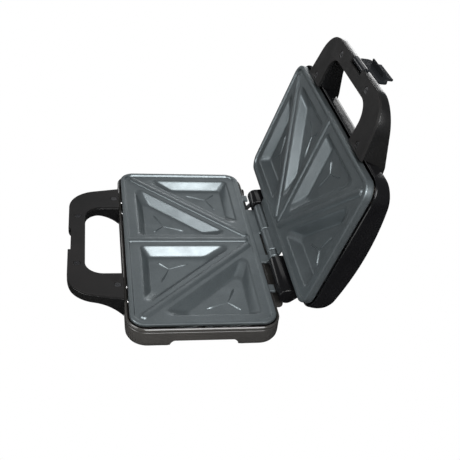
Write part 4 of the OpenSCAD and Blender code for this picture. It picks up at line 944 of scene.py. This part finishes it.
red = lens_material("red_plastic", (0.65, 0.035, 0.02), (0.45, 0.015, 0.01))
dress(red, "red_lens", "power_lens")
green = lens_material("green_plastic", (0.05, 0.45, 0.10), (0.02, 0.30, 0.06))
dress(green, "green_lens", "ready_lens")
neon = lens_material("neon_glass", (0.95, 0.90, 0.82), (0.85, 0.80, 0.72))
dress(neon, "lamp_glass", "indicator_lamps")

# ---- Floor, light and camera ------------------------------------------------
# A white floor and backdrop, a large soft light over the camera's shoulder, and five
# weaker ones: in front, low behind, high on the far side, low at the side and low in
# front. The camera stands where the photo was taken from.
STUDIO_TONE = (0.12, 0.125, 0.13)
FLOOR_TONE, FLOOR_GLOW = 0.78, 0.025  # to light, and to reflections
CAMERA_AT, CAMERA_LENS = (0.5819, -0.1142, 0.4359), 61.04
CAMERA_TURN = (77.51, 33.99, 7.13)  # azimuth, elevation and roll in degrees


def white_to_camera(nt, tone):
    """Plain white for what the camera sees directly, tone for light and reflections."""
    path = nt.nodes.new("ShaderNodeLightPath")
    mix = nt.nodes.new("ShaderNodeMix")
    mix.data_type = "RGBA"
    mix.inputs["A"].default_value = (*tone, 1)
    mix.inputs["B"].default_value = (1, 1, 1, 1)
    nt.links.new(path.outputs["Is Camera Ray"], mix.inputs["Factor"])
    return mix.outputs["Result"]


world = bpy.data.worlds.new("studio")
bpy.context.scene.world = world
world.use_nodes = True
backdrop = world.node_tree.nodes["Background"]
world.node_tree.links.new(white_to_camera(world.node_tree, STUDIO_TONE), backdrop.inputs["Color"])

floor_mesh = bpy.data.meshes.new("floor")
floor_mesh.from_pydata([(-4, -4, 0), (4, -4, 0), (4, 4, 0), (-4, 4, 0)], [], [(0, 1, 2, 3)])
floor = bpy.data.objects.new("floor", floor_mesh)
bpy.context.scene.collection.objects.link(floor)
floor_mat = bpy.data.materials.new("pale_floor")
floor_mat.use_nodes = True
fnt = floor_mat.node_tree
fnt.nodes.clear()
lit = fnt.nodes.new("ShaderNodeBsdfDiffuse")
lit.inputs["Color"].default_value = (FLOOR_TONE, FLOOR_TONE, FLOOR_TONE, 1)
fpath = fnt.nodes.new("ShaderNodeLightPath")
surface = lit.outputs["BSDF"]
for ray, tone in (("Is Glossy Ray", FLOOR_GLOW), ("Is Camera Ray", 1.0)):
    glow = fnt.nodes.new("ShaderNodeEmission")
    glow.inputs["Color"].default_value = (tone, tone, tone, 1)
    mixed = fnt.nodes.new("ShaderNodeMixShader")
    fnt.links.new(fpath.outputs[ray], mixed.inputs["Fac"])
    fnt.links.new(surface, mixed.inputs[1])
    fnt.links.new(glow.outputs["Emission"], mixed.inputs[2])
    surface = mixed.outputs["Shader"]
fnt.links.new(surface, fnt.nodes.new("ShaderNodeOutputMaterial").inputs["Surface"])
floor_mesh.materials.append(floor_mat)


def soft_light(name, direction, distance, size, power, aim=(0, 0, 0.06)):
    """An area light at a distance from the point it is aimed at, facing it."""
    data = bpy.data.lights.new(name, "AREA")
    data.shape = "RECTANGLE"
    data.size, data.size_y = size
    data.energy = power
    lamp = bpy.data.objects.new(name, data)
    d = Vector(direction).normalized()
    lamp.location = Vector(aim) + d * distance
    lamp.rotation_mode = "QUATERNION"
    lamp.rotation_quaternion = (-d).to_track_quat("-Z", "Y")
    bpy.context.scene.collection.objects.link(lamp)


soft_light("key", (0.69, 0.10, 0.70), 1.3, (0.9, 0.7), 23)
soft_light("front", (0.19, -0.74, 0.65), 0.9, (0.42, 0.42), 4.0)
soft_light("back", (-0.93, 0.36, 0.10), 1.3, (0.95, 0.26), 2.6)
soft_light("far", (-0.81, 0.18, 0.56), 1.4, (0.6, 0.45), 0.9)
soft_light("side", (-0.82, -0.55, 0.09), 1.4, (0.6, 0.24), 1.0)
soft_light("low", (0.44, -0.86, -0.12), 0.6, (0.5, 0.09), 0.6, aim=(0, 0.08, 0.12))

azimuth, elevation, roll = map(math.radians, CAMERA_TURN)
reach = math.cos(elevation)
back = Vector((math.sin(azimuth) * reach, -math.cos(azimuth) * reach, math.sin(elevation)))
right = Vector((math.cos(azimuth), math.sin(azimuth), 0))
turned = math.cos(roll) * right + math.sin(roll) * back.cross(right)
facing = Matrix((turned, back.cross(turned), back)).transposed().to_4x4()
camera_data = bpy.data.cameras.new("camera")
camera_data.lens = CAMERA_LENS
camera_data.sensor_width = 36
camera_data.clip_start, camera_data.clip_end = 0.01, 20
camera = bpy.data.objects.new("camera", camera_data)
camera.matrix_world = Matrix.Translation(CAMERA_AT) @ facing
bpy.context.scene.collection.objects.link(camera)
bpy.context.scene.camera = camera
bpy.context.scene.view_settings.view_transform = "Standard"
